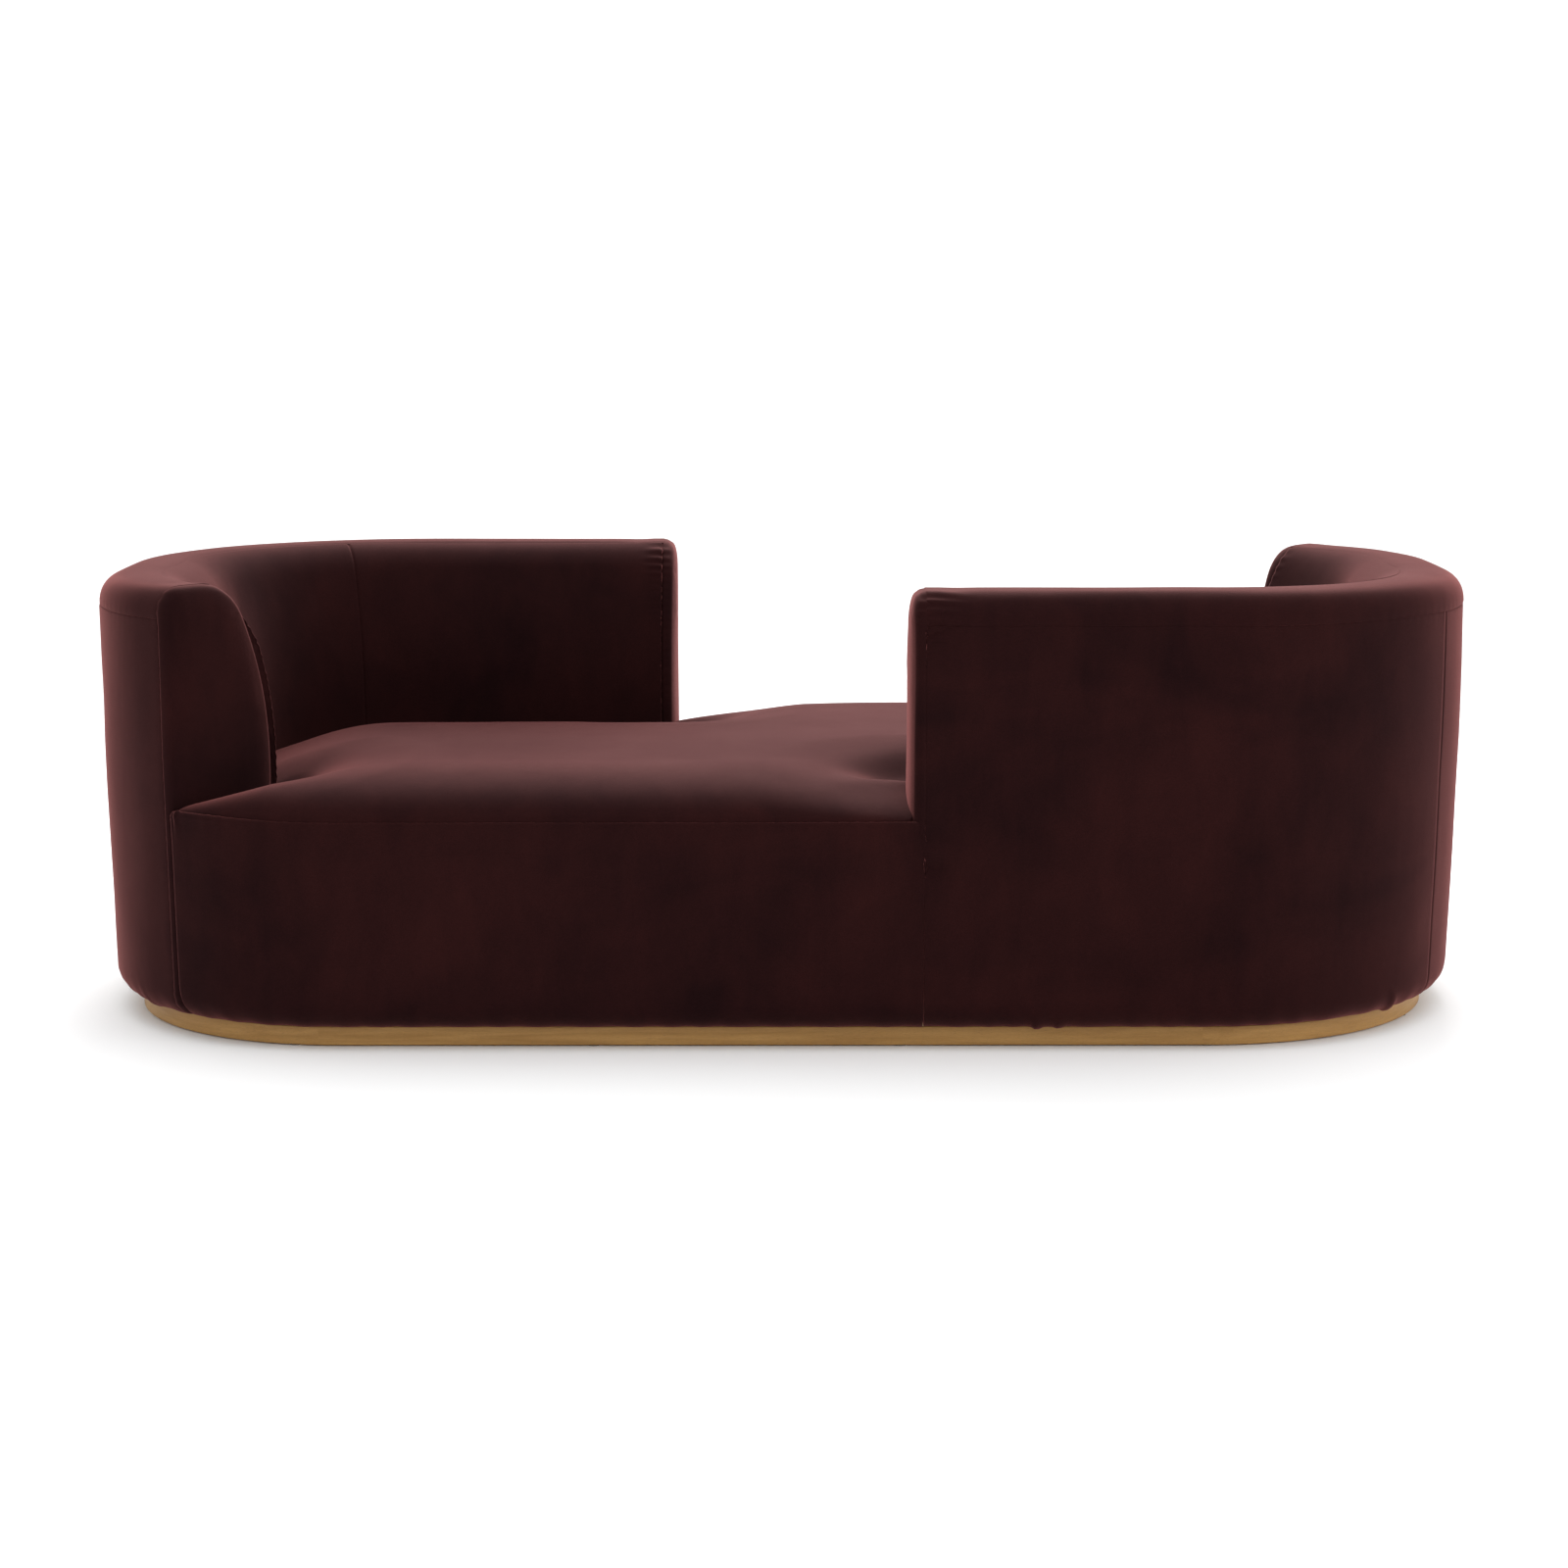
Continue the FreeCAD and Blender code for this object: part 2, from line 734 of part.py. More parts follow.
def make_backs():
    run = stretch(wing_start_s, left_mid_s)
    rake_line = [(rib_top, plate_z), (rib_nose, deck_z)]
    rib = polygon([(0, ring_top), (0, plate_z)] + rake_line
                  + [(rib_foot, deck_z), (rib_foot, ring_top)])
    ribs = [rib_from(rib, *where) for where in back_rib_places()]
    written("left_back_ribs", ribs)
    written("right_back_ribs", [half_turn(r) for r in ribs])

    plate_in = rib_top + board_thick
    plate_top = plate_z + plate_thick
    plate = rect(frame_d, plate_in, plate_z, plate_top)
    inner_line = [(u + board_thick, z) for u, z in rake_line]
    inner_board = polygon(rake_line + inner_line[::-1])
    inner_side = polygon([inner_line[0], (FAR, plate_z), (FAR, deck_z), inner_line[1]])
    whole = section(cover_thick)
    top = only_face(whole.common(rect(0, FAR, plate_z, height)).cut(plate))

    layers = {
        "back_top_plate": plate,
        "back_inner_board": inner_board,
        "back_outer_board": skin(board_d, frame_d,
                                 rect(0, plinth_inset, plinth_height + skirt_r, plate_z)),
        "back_outer_foam": skin(cover_thick, board_d, rect(0, plinth_inset, 0, plate_z)),
        "back_inner_foam": only_face(whole.common(inner_side)),
        "back_top_foam": top,
        "back_outer_cover": skin(0.0, cover_thick, rect(0, plinth_inset, 0, band_seam_z)),
        "back_band_cover": skin(0.0, cover_thick, rect(0, inner_seam_u, band_seam_z, height)),
        "back_inner_cover": skin(0.0, cover_thick, rect(inner_seam_u, FAR, deck_z, height)),
    }
    for stem, face in layers.items():
        written_pair(stem, "left", swept(face, run))

    foam, cover = end_pad(wing_start_s, -wing_bulge, "skin")
    written_pair("wing_end_foam", "left", foam)
    written_pair("wing_end_cover", "left", cover)
    foam, cover = end_pad(left_mid_s, mid_bulge, "upper")
    written_pair("mid_end_foam", "left", foam)
    written_pair("mid_end_cover", "left", cover)


make_plinth()
make_braces()
make_base_ring()
make_seat_frame()
make_springs()
make_seat()
make_backs()
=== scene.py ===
import json
import math

import bmesh
import bpy
import numpy as np
from mathutils import Matrix, Vector
from mathutils import noise

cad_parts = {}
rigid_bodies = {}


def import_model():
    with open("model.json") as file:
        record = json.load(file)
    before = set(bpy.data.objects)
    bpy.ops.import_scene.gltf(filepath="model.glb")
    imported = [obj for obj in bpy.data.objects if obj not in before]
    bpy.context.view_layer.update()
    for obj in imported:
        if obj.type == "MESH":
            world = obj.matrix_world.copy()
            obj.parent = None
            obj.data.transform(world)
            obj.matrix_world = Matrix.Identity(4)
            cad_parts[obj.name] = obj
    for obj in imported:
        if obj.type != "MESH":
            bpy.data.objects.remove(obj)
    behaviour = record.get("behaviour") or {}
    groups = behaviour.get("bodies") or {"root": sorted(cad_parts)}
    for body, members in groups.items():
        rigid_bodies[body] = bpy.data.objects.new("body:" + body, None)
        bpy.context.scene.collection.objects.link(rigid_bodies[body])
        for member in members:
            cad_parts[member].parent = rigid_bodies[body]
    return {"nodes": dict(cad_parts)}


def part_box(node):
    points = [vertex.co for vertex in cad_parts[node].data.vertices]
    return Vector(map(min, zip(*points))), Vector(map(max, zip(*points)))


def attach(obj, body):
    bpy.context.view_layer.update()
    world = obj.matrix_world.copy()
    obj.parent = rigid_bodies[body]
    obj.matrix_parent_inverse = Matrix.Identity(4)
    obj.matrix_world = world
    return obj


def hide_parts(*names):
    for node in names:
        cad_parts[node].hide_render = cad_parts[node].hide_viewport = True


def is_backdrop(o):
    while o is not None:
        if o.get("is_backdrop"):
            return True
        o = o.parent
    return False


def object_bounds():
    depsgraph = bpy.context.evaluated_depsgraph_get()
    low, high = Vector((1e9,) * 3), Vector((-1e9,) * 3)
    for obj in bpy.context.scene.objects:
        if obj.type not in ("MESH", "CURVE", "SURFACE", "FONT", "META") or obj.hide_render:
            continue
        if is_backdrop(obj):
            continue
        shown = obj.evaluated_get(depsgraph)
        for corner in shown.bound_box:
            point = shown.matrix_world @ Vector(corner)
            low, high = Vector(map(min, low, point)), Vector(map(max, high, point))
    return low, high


bl_info = {
    "name": "Two-sided velvet daybed",
    "version": (1, 0, 0),
    "blender": (4, 5, 0),
    "location": "3D View > Sidebar > Daybed",
    "description": "Velvet upholstery, wooden plinth and studio for the two-sided daybed",
    "category": "Object",
}

for spare in list(bpy.data.objects):
    bpy.data.objects.remove(spare)
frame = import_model()
NODES = frame["nodes"]
CAD_LOW, CAD_HIGH = (Vector(p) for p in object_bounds())
PLINTH_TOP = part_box("plinth_front_rail")[1][2]
MID_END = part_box("left_mid_end_foam")[0][0]
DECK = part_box("seat_foam_core")[0][2]
UP = Vector((0, 0, 1))


def length(name, text, value):
    """A length in metres that a user may change."""
    return bpy.props.FloatProperty(name=name, description=text, default=value,
                                   unit="LENGTH", precision=4)


def angle(name, text, value):
    """An angle that a user may change, given in degrees."""
    return bpy.props.FloatProperty(name=name, description=text, default=math.radians(value),
                                   subtype="ANGLE")


def colour(name, text, value):
    """A linear colour that a user may change."""
    return bpy.props.FloatVectorProperty(name=name, description=text, default=value,
                                         subtype="COLOR", size=3, min=0, max=1)


def fraction(name, text, value):
    """A share from 0 to 1 that a user may change."""
    return bpy.props.FloatProperty(name=name, description=text, default=value,
                                   min=0, max=1, subtype="FACTOR")


# ---------------------------------------------------------------- what a user may change

class DaybedShape(bpy.types.PropertyGroup):
    """Sizes of the upholstery. The frame itself stays as it was loaded."""
    half_length: length("Half length", "Middle to the outermost line at an end", CAD_HIGH.x)
    half_depth: length("Half depth", "Middle to the outermost line at a side", CAD_HIGH.y)
    height: length("Height", "Floor to the crest of a back", CAD_HIGH.z)
    wing_corner: length("Wing corner", "Plan radius of a corner that carries a wing", 0.445)
    back_corner: length("Back corner", "Plan radius of a corner that a back wraps", 0.485)
    wing_angle: angle("Wing angle", "How far a back runs round the wing corner", 50)
    wing_bulge: length("Wing bulge", "How far the wing's end pad stands proud", 0.026)
    mid_bulge: length("Middle bulge", "How far the middle end pad stands proud", 0.023)
    plinth_top: length("Plinth top", "Floor to the top of the plinth", PLINTH_TOP)
    hem_inset: length("Hem inset", "Outermost line to the plinth's face", 0.054)
    skirt_round: length("Skirt round", "Radius of the roll above the plinth", 0.044)
    skirt_lean: length("Skirt lean", "How far the side leans in above the roll", 0.010)
    widest: length("Widest height", "Height where the side is widest", 0.480)
    outer_round: length("Outer round", "Radius of the crest's outer edge", 0.045)
    crest_flat: length("Crest", "Inner end of the flat of the crest", 0.090)
    inner_round: length("Inner round", "Radius of the crest's inner roll", 0.090)
    rake: angle("Rake", "Lean of the inner face where it leaves the crest", 24)
    back_foot: length("Back foot", "Thickness of a back at the seat", 0.228)
    seat_meet: length("Seat meets back", "Height where the seat meets a back", 0.425)
    band_seam: length("Band seam", "Height of the seam round the outside", 0.709)
    inner_seam: length("Inner seam", "Inset of the seam along the crest", 0.110)
    seat_seam: length("Seat seam", "Height of the seam round the seat", 0.385)
    crown: length("Seat crown", "Rise of the seat above its seam", 0.073)
    crown_run: length("Crown run", "Distance in which the seat rises", 0.187)
    back_dip: length("Dip at a back", "How much lower the seat is along a back", 0.033)
    wing_dip: length("Dip at a wing", "How much lower the seat is along a wing's end", 0.050)
    pad_depth: length("Pad depth", "Thickness of the padding on an outer board", 0.017)
    lip: length("Seam lip", "Radius of a panel's edge at a seam", 0.0032)
    hidden_lip: length("Hidden lip", "Radius of an edge at a seam that barely shows", 0.0008)
    seam_lap: length("Seam lap", "How far two panels press into each other at a seam", 0.0012)
    end_lap: length("End lap", "How far an end pad reaches in past the ends of the others", 0.010)
    end_proud: length("End proud", "How far an end pad stands over the outer side", 0.0016)
    panel_lap: length("Panel lap", "How far an edge panel presses into a back's end", 0.0012)


class DaybedFinish(bpy.types.PropertyGroup):
    """Colours and textures of the velvet, the wood and the springs."""
    velvet: colour("Velvet", "Colour of the velvet's ground, seen straight on",
                   (0.0225, 0.0050, 0.0048))
    velvet_shade: colour("Velvet shade", "Colour where the pile is brushed away",
                         (0.0105, 0.0028, 0.0032))
    pile: colour("Pile tips", "Tint of the light that the tips of the pile throw back",
                 (0.90, 0.30, 0.285))
    pile_weight: fraction("Pile weight", "How much light the tips throw back", 0.42)
    pile_rough: fraction("Pile roughness", "How far round the light spreads", 0.36)
    wood_light: colour("Wood, light", "Early growth of the plinth's wood", (0.545, 0.300, 0.087))
    wood_dark: colour("Wood, dark", "Late growth of the plinth's wood", (0.375, 0.188, 0.048))
    ply_light: colour("Plywood, light", "Light plies of the frame", (0.62, 0.45, 0.26))
    ply_dark: colour("Plywood, dark", "Dark plies and glue lines", (0.40, 0.26, 0.13))
    steel: colour("Spring steel", "Oiled spring wire", (0.33, 0.34, 0.35))
    lining: colour("Lining", "Non-woven cloth under the frame", (0.018, 0.018, 0.020))
    felt: colour("Felt", "Pad between the springs and the seat", (0.42, 0.40, 0.37))


def shape():
    return bpy.context.scene.daybed_shape


def finish():
    return bpy.context.scene.daybed_finish


# ---------------------------------------------------------------- shader maths

class Socket:
    """A value in a material, which takes part in ordinary sums."""

    def __init__(self, maker, socket):
        self.maker = maker
        self.socket = socket

    def maths(self, operation, *others):
        values = dict(enumerate((self, *others)))
        return self.maker.node("ShaderNodeMath", {"operation": operation}, values)["Value"]

    def swapped(self, operation, other):
        values = {0: other, 1: self}
        return self.maker.node("ShaderNodeMath", {"operation": operation}, values)["Value"]

    def __add__(self, other):
        return self.maths("ADD", other)

    def __sub__(self, other):
        return self.maths("SUBTRACT", other)

    def __mul__(self, other):
        return self.maths("MULTIPLY", other)

    def __neg__(self):
        return self.maths("MULTIPLY", -1.0)

    def __radd__(self, other):
        return self.swapped("ADD", other)

    def __rsub__(self, other):
        return self.swapped("SUBTRACT", other)

    def __rmul__(self, other):
        return self.swapped("MULTIPLY", other)


class Outputs:
    """The outputs of a node, by name."""

    def __init__(self, maker, node):
        self.maker = maker
        self.made = node

    def __getitem__(self, name):
        return Socket(self.maker, self.made.outputs[name])


class Material:
    """A node material under construction."""

    def __init__(self, name):
        self.made = bpy.data.materials.new(name)
        self.made.use_nodes = True
        self.tree = self.made.node_tree
        self.tree.nodes.clear()

    @classmethod
    def around(cls, world):
        """The same maker for the nodes of a world."""
        maker = cls.__new__(cls)
        maker.made = world
        maker.tree = world.node_tree
        maker.tree.nodes.clear()
        return maker

    def node(self, kind, settings=None, values=None):
        """Any node: its settings first, then the values or links of its sockets."""
        made = self.tree.nodes.new(kind)
        for name, value in (settings or {}).items():
            setattr(made, name, value)
        for name, value in (values or {}).items():
            if isinstance(value, Socket):
                self.tree.links.new(value.socket, made.inputs[name])
            else:
                made.inputs[name].default_value = value
        return Outputs(self, made)

    def place(self):
        return self.node("ShaderNodeTexCoord")["Object"]

    def parts(self, vector):
        apart = self.node("ShaderNodeSeparateXYZ", None, {0: vector})
        return apart["X"], apart["Y"], apart["Z"]

    def vector(self, x, y, z):
        return self.node("ShaderNodeCombineXYZ", None, {0: x, 1: y, 2: z})["Vector"]

    def noise(self, where, scale, detail=3.0, rough=0.5, distortion=0.0):
        values = {"Vector": where, "Scale": scale, "Detail": detail, "Roughness": rough,
                  "Distortion": distortion}
        return self.node("ShaderNodeTexNoise", None, values)["Fac"]

    def stretched(self, where, size):
        return self.node("ShaderNodeMapping", None, {"Vector": where, "Scale": size})["Vector"]

    def span(self, value, low, high, to_low=0.0, to_high=1.0):
        values = {"Value": value, 1: low, 2: high, 3: to_low, 4: to_high}
        return self.node("ShaderNodeMapRange", None, values)["Result"]

    def blend(self, amount, a, b):
        settings = {"data_type": "RGBA"}
        made = self.node("ShaderNodeMix", settings)
        inputs = made.made.inputs
        for socket, value in ((inputs[0], amount), (inputs[6], a), (inputs[7], b)):
            if isinstance(value, Socket):
                self.tree.links.new(value.socket, socket)
            elif socket is inputs[0]:
                socket.default_value = value
            else:
                socket.default_value = (*value, 1.0)
        return Socket(self, made.made.outputs[2])

    def bump(self, height, distance, strength=1.0, under=None):
        values = {"Height": height, "Distance": distance, "Strength": strength}
        if under:
            values["Normal"] = under
        return self.node("ShaderNodeBump", None, values)["Normal"]

    def surface(self, base, rough, normal=None, **fixed):
        values = {"Base Color": base, "Roughness": rough}
        if normal:
            values["Normal"] = normal
        values.update(fixed)
        shader = self.node("ShaderNodeBsdfPrincipled", None, values)["BSDF"]
        self.node("ShaderNodeOutputMaterial", None, {"Surface": shader})
        return self.made


def velvet():
    """Cotton velvet: dark ground, a short pile that lights up at a slant, brushed marks."""
    f = finish()
    m = Material("aubergine_velvet")
    where = m.place()
    brushed = m.noise(m.stretched(where, (1.0, 1.0, 1.6)), 2.6, 3.0, 0.55, 0.6)
    strokes = m.noise(m.stretched(where, (1.0, 1.0, 0.35)), 16.0, 3.0, 0.6, 0.3)
    pile = m.noise(where, 620.0, 2.0, 0.7)
    rows = m.noise(m.stretched(where, (1.0, 1.0, 5.0)), 210.0, 2.0, 0.6)
    nap = m.span(brushed * 0.68 + strokes * 0.32, 0.36, 0.66)
    ground = m.blend(nap, f.velvet_shade, f.velvet)
    fleck = m.span(pile * 0.6 + rows * 0.4, 0.35, 0.68, 0.80, 1.18)
    shade = m.node("ShaderNodeVectorMath", {"operation": "SCALE"}, {0: ground, "Scale": fleck})
    stroke = m.node("ShaderNodeAttribute", {"attribute_name": "gather"})["Fac"]
    normal = m.bump(pile * 0.5 + rows * 0.5, 0.0007, 0.55)
    normal = m.bump(strokes * 0.6 + stroke, 0.0012, 0.5, normal)
    return m.surface(shade["Vector"], m.span(nap, 0.0, 1.0, 0.95, 0.86), normal,
                     **{"Specular IOR Level": 0.06, "Sheen Weight": f.pile_weight,
                        "Sheen Roughness": f.pile_rough, "Sheen Tint": (*f.pile, 1.0)})


def plinth_wood(name, turned, curved):
    """Oiled wood whose grain runs along its rail, and round the bends of an end."""
    f, s = finish(), shape()
    m = Material(name)
    x, y, z = m.parts(m.place())
    if turned:
        x, y = -x, -y
    if curved:
        centre = s.half_length - s.back_corner
        straight_top = s.half_depth - s.back_corner
        straight_low = s.wing_corner - s.half_depth
        level = y.maths("MINIMUM", straight_top).maths("MAXIMUM", straight_low)
        above = (y - straight_top).maths("MAXIMUM", 0.0)
        below = (straight_low - y).maths("MAXIMUM", 0.0)
        back_turn = above.maths("ARCTAN2", (-x - centre).maths("MAXIMUM", 0.001))
        wing_x = s.half_length - s.wing_corner
        wing_turn = below.maths("ARCTAN2", (-x - wing_x).maths("MAXIMUM", 0.001))
        along = level + back_turn * s.back_corner - wing_turn * s.wing_corner
        across = x.maths("ABSOLUTE") * 0.35 + y.maths("ABSOLUTE") * 0.35
    else:
        along, across = x, y
    grain = m.vector(along * 1.3, across * 9.0, z * 26.0)
    broad = m.noise(grain, 3.2, 3.0, 0.55, 1.1)
    fine = m.noise(m.vector(along * 7.0, across * 40.0, z * 160.0), 9.0, 3.0, 0.6)
    pores = m.noise(m.vector(along * 22.0, across * 90.0, z * 420.0), 6.0, 2.0, 0.5)
    figure = m.span(broad * 0.65 + fine * 0.35, 0.30, 0.70)
    tone = m.blend(figure, f.wood_dark, f.wood_light)
    pits = m.span(pores, 0.58, 0.70)
    tone = m.blend(pits * 0.45, tone, tuple(0.45 * c for c in f.wood_dark))
    # painted shade: the top 4 mm of the plinth is darkened towards the dark wood colour, under the
    # overhanging velvet skirt
    shade_under_skirt = m.span(z, s.plinth_top - 0.004, s.plinth_top, 0.0, 0.25)
    tone = m.blend(shade_under_skirt, tone, tuple(0.6 * c for c in f.wood_dark))
    return m.surface(tone, m.span(figure, 0.0, 1.0, 0.55, 0.42),
                     m.bump(fine * 0.6 - pits * 0.8, 0.0004, 0.5),
                     **{"Specular IOR Level": 0.35, "Coat Weight": 0.12, "Coat Roughness": 0.35})


def plywood(name, flat):
    """Birch plywood: face grain on the flat sides and plies at the edges."""
    f = finish()
    m = Material(name)
    where = m.place()
    x, y, z = m.parts(where)
    face = m.noise(m.stretched(where, (2.0, 30.0, 30.0) if flat else (30.0, 30.0, 2.0)),
                   2.2, 4.0, 0.6, 0.8)
    layers = (z if flat else x + y) * 3900.0
    plies = layers.maths("SINE") * 0.5 + 0.5
    tone = m.blend(m.span(face, 0.3, 0.7), f.ply_dark, f.ply_light)
    tone = m.blend(plies * 0.28, tone, f.ply_dark)
    return m.surface(tone, m.span(face, 0.3, 0.7, 0.72, 0.6), m.bump(face, 0.0004, 0.5),
                     **{"Specular IOR Level": 0.3})


def hardwood():
    """Kiln-dried frame hardwood, sawn and left bare."""
    f = finish()
    m = Material("frame_hardwood")
    where = m.place()
    grain = m.noise(m.stretched(where, (3.0, 3.0, 40.0)), 3.0, 4.0, 0.6, 0.9)
    saw = m.noise(m.stretched(where, (160.0, 8.0, 8.0)), 4.0, 2.0)
    tone = m.blend(m.span(grain, 0.3, 0.7), tuple(0.8 * c for c in f.ply_dark),
                   tuple(0.9 * c for c in f.ply_light))
    return m.surface(tone, m.span(saw, 0.3, 0.7, 0.62, 0.78), m.bump(saw + grain, 0.0005, 0.4),
                     **{"Specular IOR Level": 0.3})


def hardboard():
    """Pressed fibre board, brown with scattered fibres."""
    m = Material("hardboard")
    where = m.place()
    fibres = m.noise(where, 240.0, 3.0, 0.7, 0.5)
    patches = m.noise(where, 7.0, 3.0)
    tone = m.blend(m.span(fibres * 0.6 + patches * 0.4, 0.35, 0.65),
                   (0.115, 0.062, 0.032), (0.205, 0.118, 0.064))
    return m.surface(tone, m.span(fibres, 0.3, 0.7, 0.55, 0.7), m.bump(fibres, 0.0003, 0.5),
                     **{"Specular IOR Level": 0.35})


def metal(name, tint, low, high):
    """Drawn or plated steel with faint handling marks."""
    m = Material(name)
    where = m.place()
    marks = m.noise(where, 90.0, 4.0, 0.65)
    drawn = m.noise(m.stretched(where, (40.0, 400.0, 400.0)), 3.0, 2.0)
    tone = m.blend(m.span(marks, 0.35, 0.7), tuple(0.6 * c for c in tint), tint)
    return m.surface(tone, m.span(marks * 0.6 + drawn * 0.4, 0.3, 0.7, low, high),
                     m.bump(drawn, 0.0001, 0.3), **{"Metallic": 1.0})


def cloth(name, tint, scale, depth):
    """Pressed, non-woven cloth or felt: short fibres lying every way."""
    m = Material(name)
    where = m.place()
    fibres = m.noise(where, scale, 4.0, 0.75, 1.5)
    clouds = m.noise(where, 9.0, 3.0)
    tone = m.blend(m.span(fibres * 0.7 + clouds * 0.3, 0.35, 0.65),
                   tuple(0.6 * c for c in tint), tuple(min(1.0, 1.4 * c) for c in tint))
    return m.surface(tone, m.span(fibres, 0.3, 0.7, 0.85, 0.98), m.bump(fibres, depth, 0.6),
                     **{"Specular IOR Level": 0.15, "Sheen Weight": 0.15})


def glide_plastic():
    """Brown moulded plastic, scuffed where it slides."""
    m = Material("glide_plastic")
    where = m.place()
    scuffs = m.noise(m.stretched(where, (60.0, 220.0, 60.0)), 4.0, 3.0, 0.6)
    tone = m.blend(m.span(scuffs, 0.4, 0.7), (0.045, 0.030, 0.020), (0.085, 0.060, 0.042))
    return m.surface(tone, m.span(scuffs, 0.3, 0.7, 0.35, 0.6), m.bump(scuffs, 0.0002, 0.4))


def made_once(name, maker, *words):
    return bpy.data.materials.get(name) or maker(*words)


# ---------------------------------------------------------------- shaping

def arc(centre, radius, first, last, steps):
    """Section points round an arc, between two angles in degrees."""
    turns = [math.radians(first + (last - first) * i / steps) for i in range(steps + 1)]
    return [(centre[0] + radius * math.cos(t), centre[1] + radius * math.sin(t)) for t in turns]


def line(a, b, steps):
    """Section points after a, evenly spaced, up to b."""
    return [(a[0] + (b[0] - a[0]) * i / steps, a[1] + (b[1] - a[1]) * i / steps)
            for i in range(1, steps + 1)]


def side_at(z):
    """How far in the outer side is at a height, below its widest line."""
    s = shape()
    low = s.plinth_top + s.skirt_round
    return s.skirt_lean * min(1.0, max(0.0, (s.widest - z) / (s.widest - low)))


def hem_points():
    """The roll of the skirt, from the plinth up to the side."""
    s = shape()
    return arc((s.hem_inset, s.plinth_top + s.skirt_round), s.skirt_round, 266, 180, 6)


def side_points(low, high, steps):
    return [(side_at(z), z) for _, z in line((0, low), (0, high), steps)]


def inner_face(steps):
    """The inner face from the crest's roll down to the seat."""
    s = shape()
    top = Vector((s.crest_flat + s.inner_round * math.cos(s.rake),
                  s.height - s.inner_round * (1 - math.sin(s.rake))))
    low = Vector((s.back_foot, s.seat_meet))
    chord = low - top
    lean = math.atan2(chord.x, -chord.y)
    out = Vector((math.cos(lean), math.sin(lean)))
    pull = (top + low) / 2 + out * chord.length * math.tan((s.rake - lean) / 2)
    places = [i / steps for i in range(1, steps + 1)]
    return [tuple(top * (1 - t) ** 2 + pull * 2 * t * (1 - t) + low * t * t) for t in places]


def outer_section(top):
    """An outer pad: skirt, side and the lips of its seams, with its back on the board."""
    s = shape()
    lip = s.lip
    skirt = s.plinth_top + s.skirt_round
    points = hem_points()
    points += side_points(skirt, top - 0.012, max(6, round((top - skirt) / 0.026)))
    edge = side_at(top)
    top += s.seam_lap
    points += [(edge, top - lip), (edge + 0.3 * lip, top - 0.3 * lip), (edge + lip, top)]
    inner = s.pad_depth - 0.0005
    points += line(points[-1], (edge + inner, top), 1)
    points += [(side_at(z) + inner, z)
               for _, z in line((0, top), (0, skirt), max(4, round((top - skirt) / 0.08)))]
    points += arc((s.hem_inset, skirt), s.skirt_round - inner, 205, 262, 3)
    return points


def band_section():
    """The band over the crest, between the outside seam and the crest's seam."""
    s = shape()
    seam, lip = s.band_seam - s.seam_lap, s.lip
    roll = (s.crest_flat, s.height - s.inner_round)
    last = math.degrees(math.acos((s.inner_seam - s.crest_flat) / s.inner_round))
    points = [(s.pad_depth, seam), (lip, seam), (0.3 * lip, seam + 0.3 * lip), (0, seam + lip)]
    points += arc((s.outer_round, s.height - s.outer_round), s.outer_round, 176, 90, 7)
    points += line(points[-1], (s.crest_flat, s.height), 2)
    points += arc(roll, s.inner_round, 84, last, 1)
    edge = s.inner_seam + s.seam_lap
    lip = s.hidden_lip
    top = points[-1][1]
    points += [(edge - 0.3 * lip, top - 0.3 * lip), (edge, top - lip), (edge, top - 0.02)]
    under = s.height - 0.0415
    points += [(edge, under)]
    points += line(points[-1], (s.pad_depth, under), 3)
    return points


def inner_section():
    """The inner pad: roll, inner face and the tuck behind the seat."""
    s = shape()
    lip = s.hidden_lip
    edge = s.inner_seam - s.seam_lap
    roll = (s.crest_flat, s.height - s.inner_round)
    first = math.degrees(math.acos((s.inner_seam - s.crest_flat) / s.inner_round))
    start = arc(roll, s.inner_round, first, first, 1)[0]
    points = [(edge, start[1] - 0.02), (edge, start[1] - lip),
              (edge + 0.3 * lip, start[1] - 0.3 * lip)]
    points += arc(roll, s.inner_round, first, math.degrees(s.rake), 6)
    points += inner_face(11)
    points += line(points[-1], (s.back_foot, DECK + 0.016), 3)
    points += [(s.back_foot - 0.006, DECK + 0.010), (0.182, DECK + 0.010)]
    points += line(points[-1], (0.1055, 0.702), 7)
    points += [(edge, s.height - 0.0415)]
    return points


def end_outline(low_points):
    """The whole outline of a back's end, from the foot of its outer side to the seat."""
    s = shape()
    points = low_points + side_points(low_points[-1][1], s.height - s.outer_round - 0.004,
                                      round((s.height - low_points[-1][1]) / 0.028))
    points += arc((s.outer_round, s.height - s.outer_round), s.outer_round, 176, 90, 6)
    points += line(points[-1], (s.crest_flat, s.height), 2)
    points += arc((s.crest_flat, s.height - s.inner_round), s.inner_round, 75,
                  math.degrees(s.rake), 4)
    return points + inner_face(10)


class Leg:
    """One stretch of the plan outline, travelled clockwise seen from above."""

    def __init__(self, run, turn=0.0, radius=0.0, centre=(0, 0, 0), heading=(0, 0, 0)):
        self.run = run
        self.turn = turn
        self.radius = radius
        self.centre = Vector(centre)
        self.heading = Vector(heading)


def bend(centre, radius, degrees):
    return Leg(math.radians(degrees) * radius, 1.0, radius, (*centre, 0))


def straight(run, heading):
    return Leg(run, heading=(*heading, 0))


def corners():
    """The centres of the left back's two plan corners."""
    s = shape()
    wing = Vector((s.wing_corner - s.half_length, s.wing_corner - s.half_depth))
    back = Vector((s.back_corner - s.half_length, s.half_depth - s.back_corner))
    return wing, back


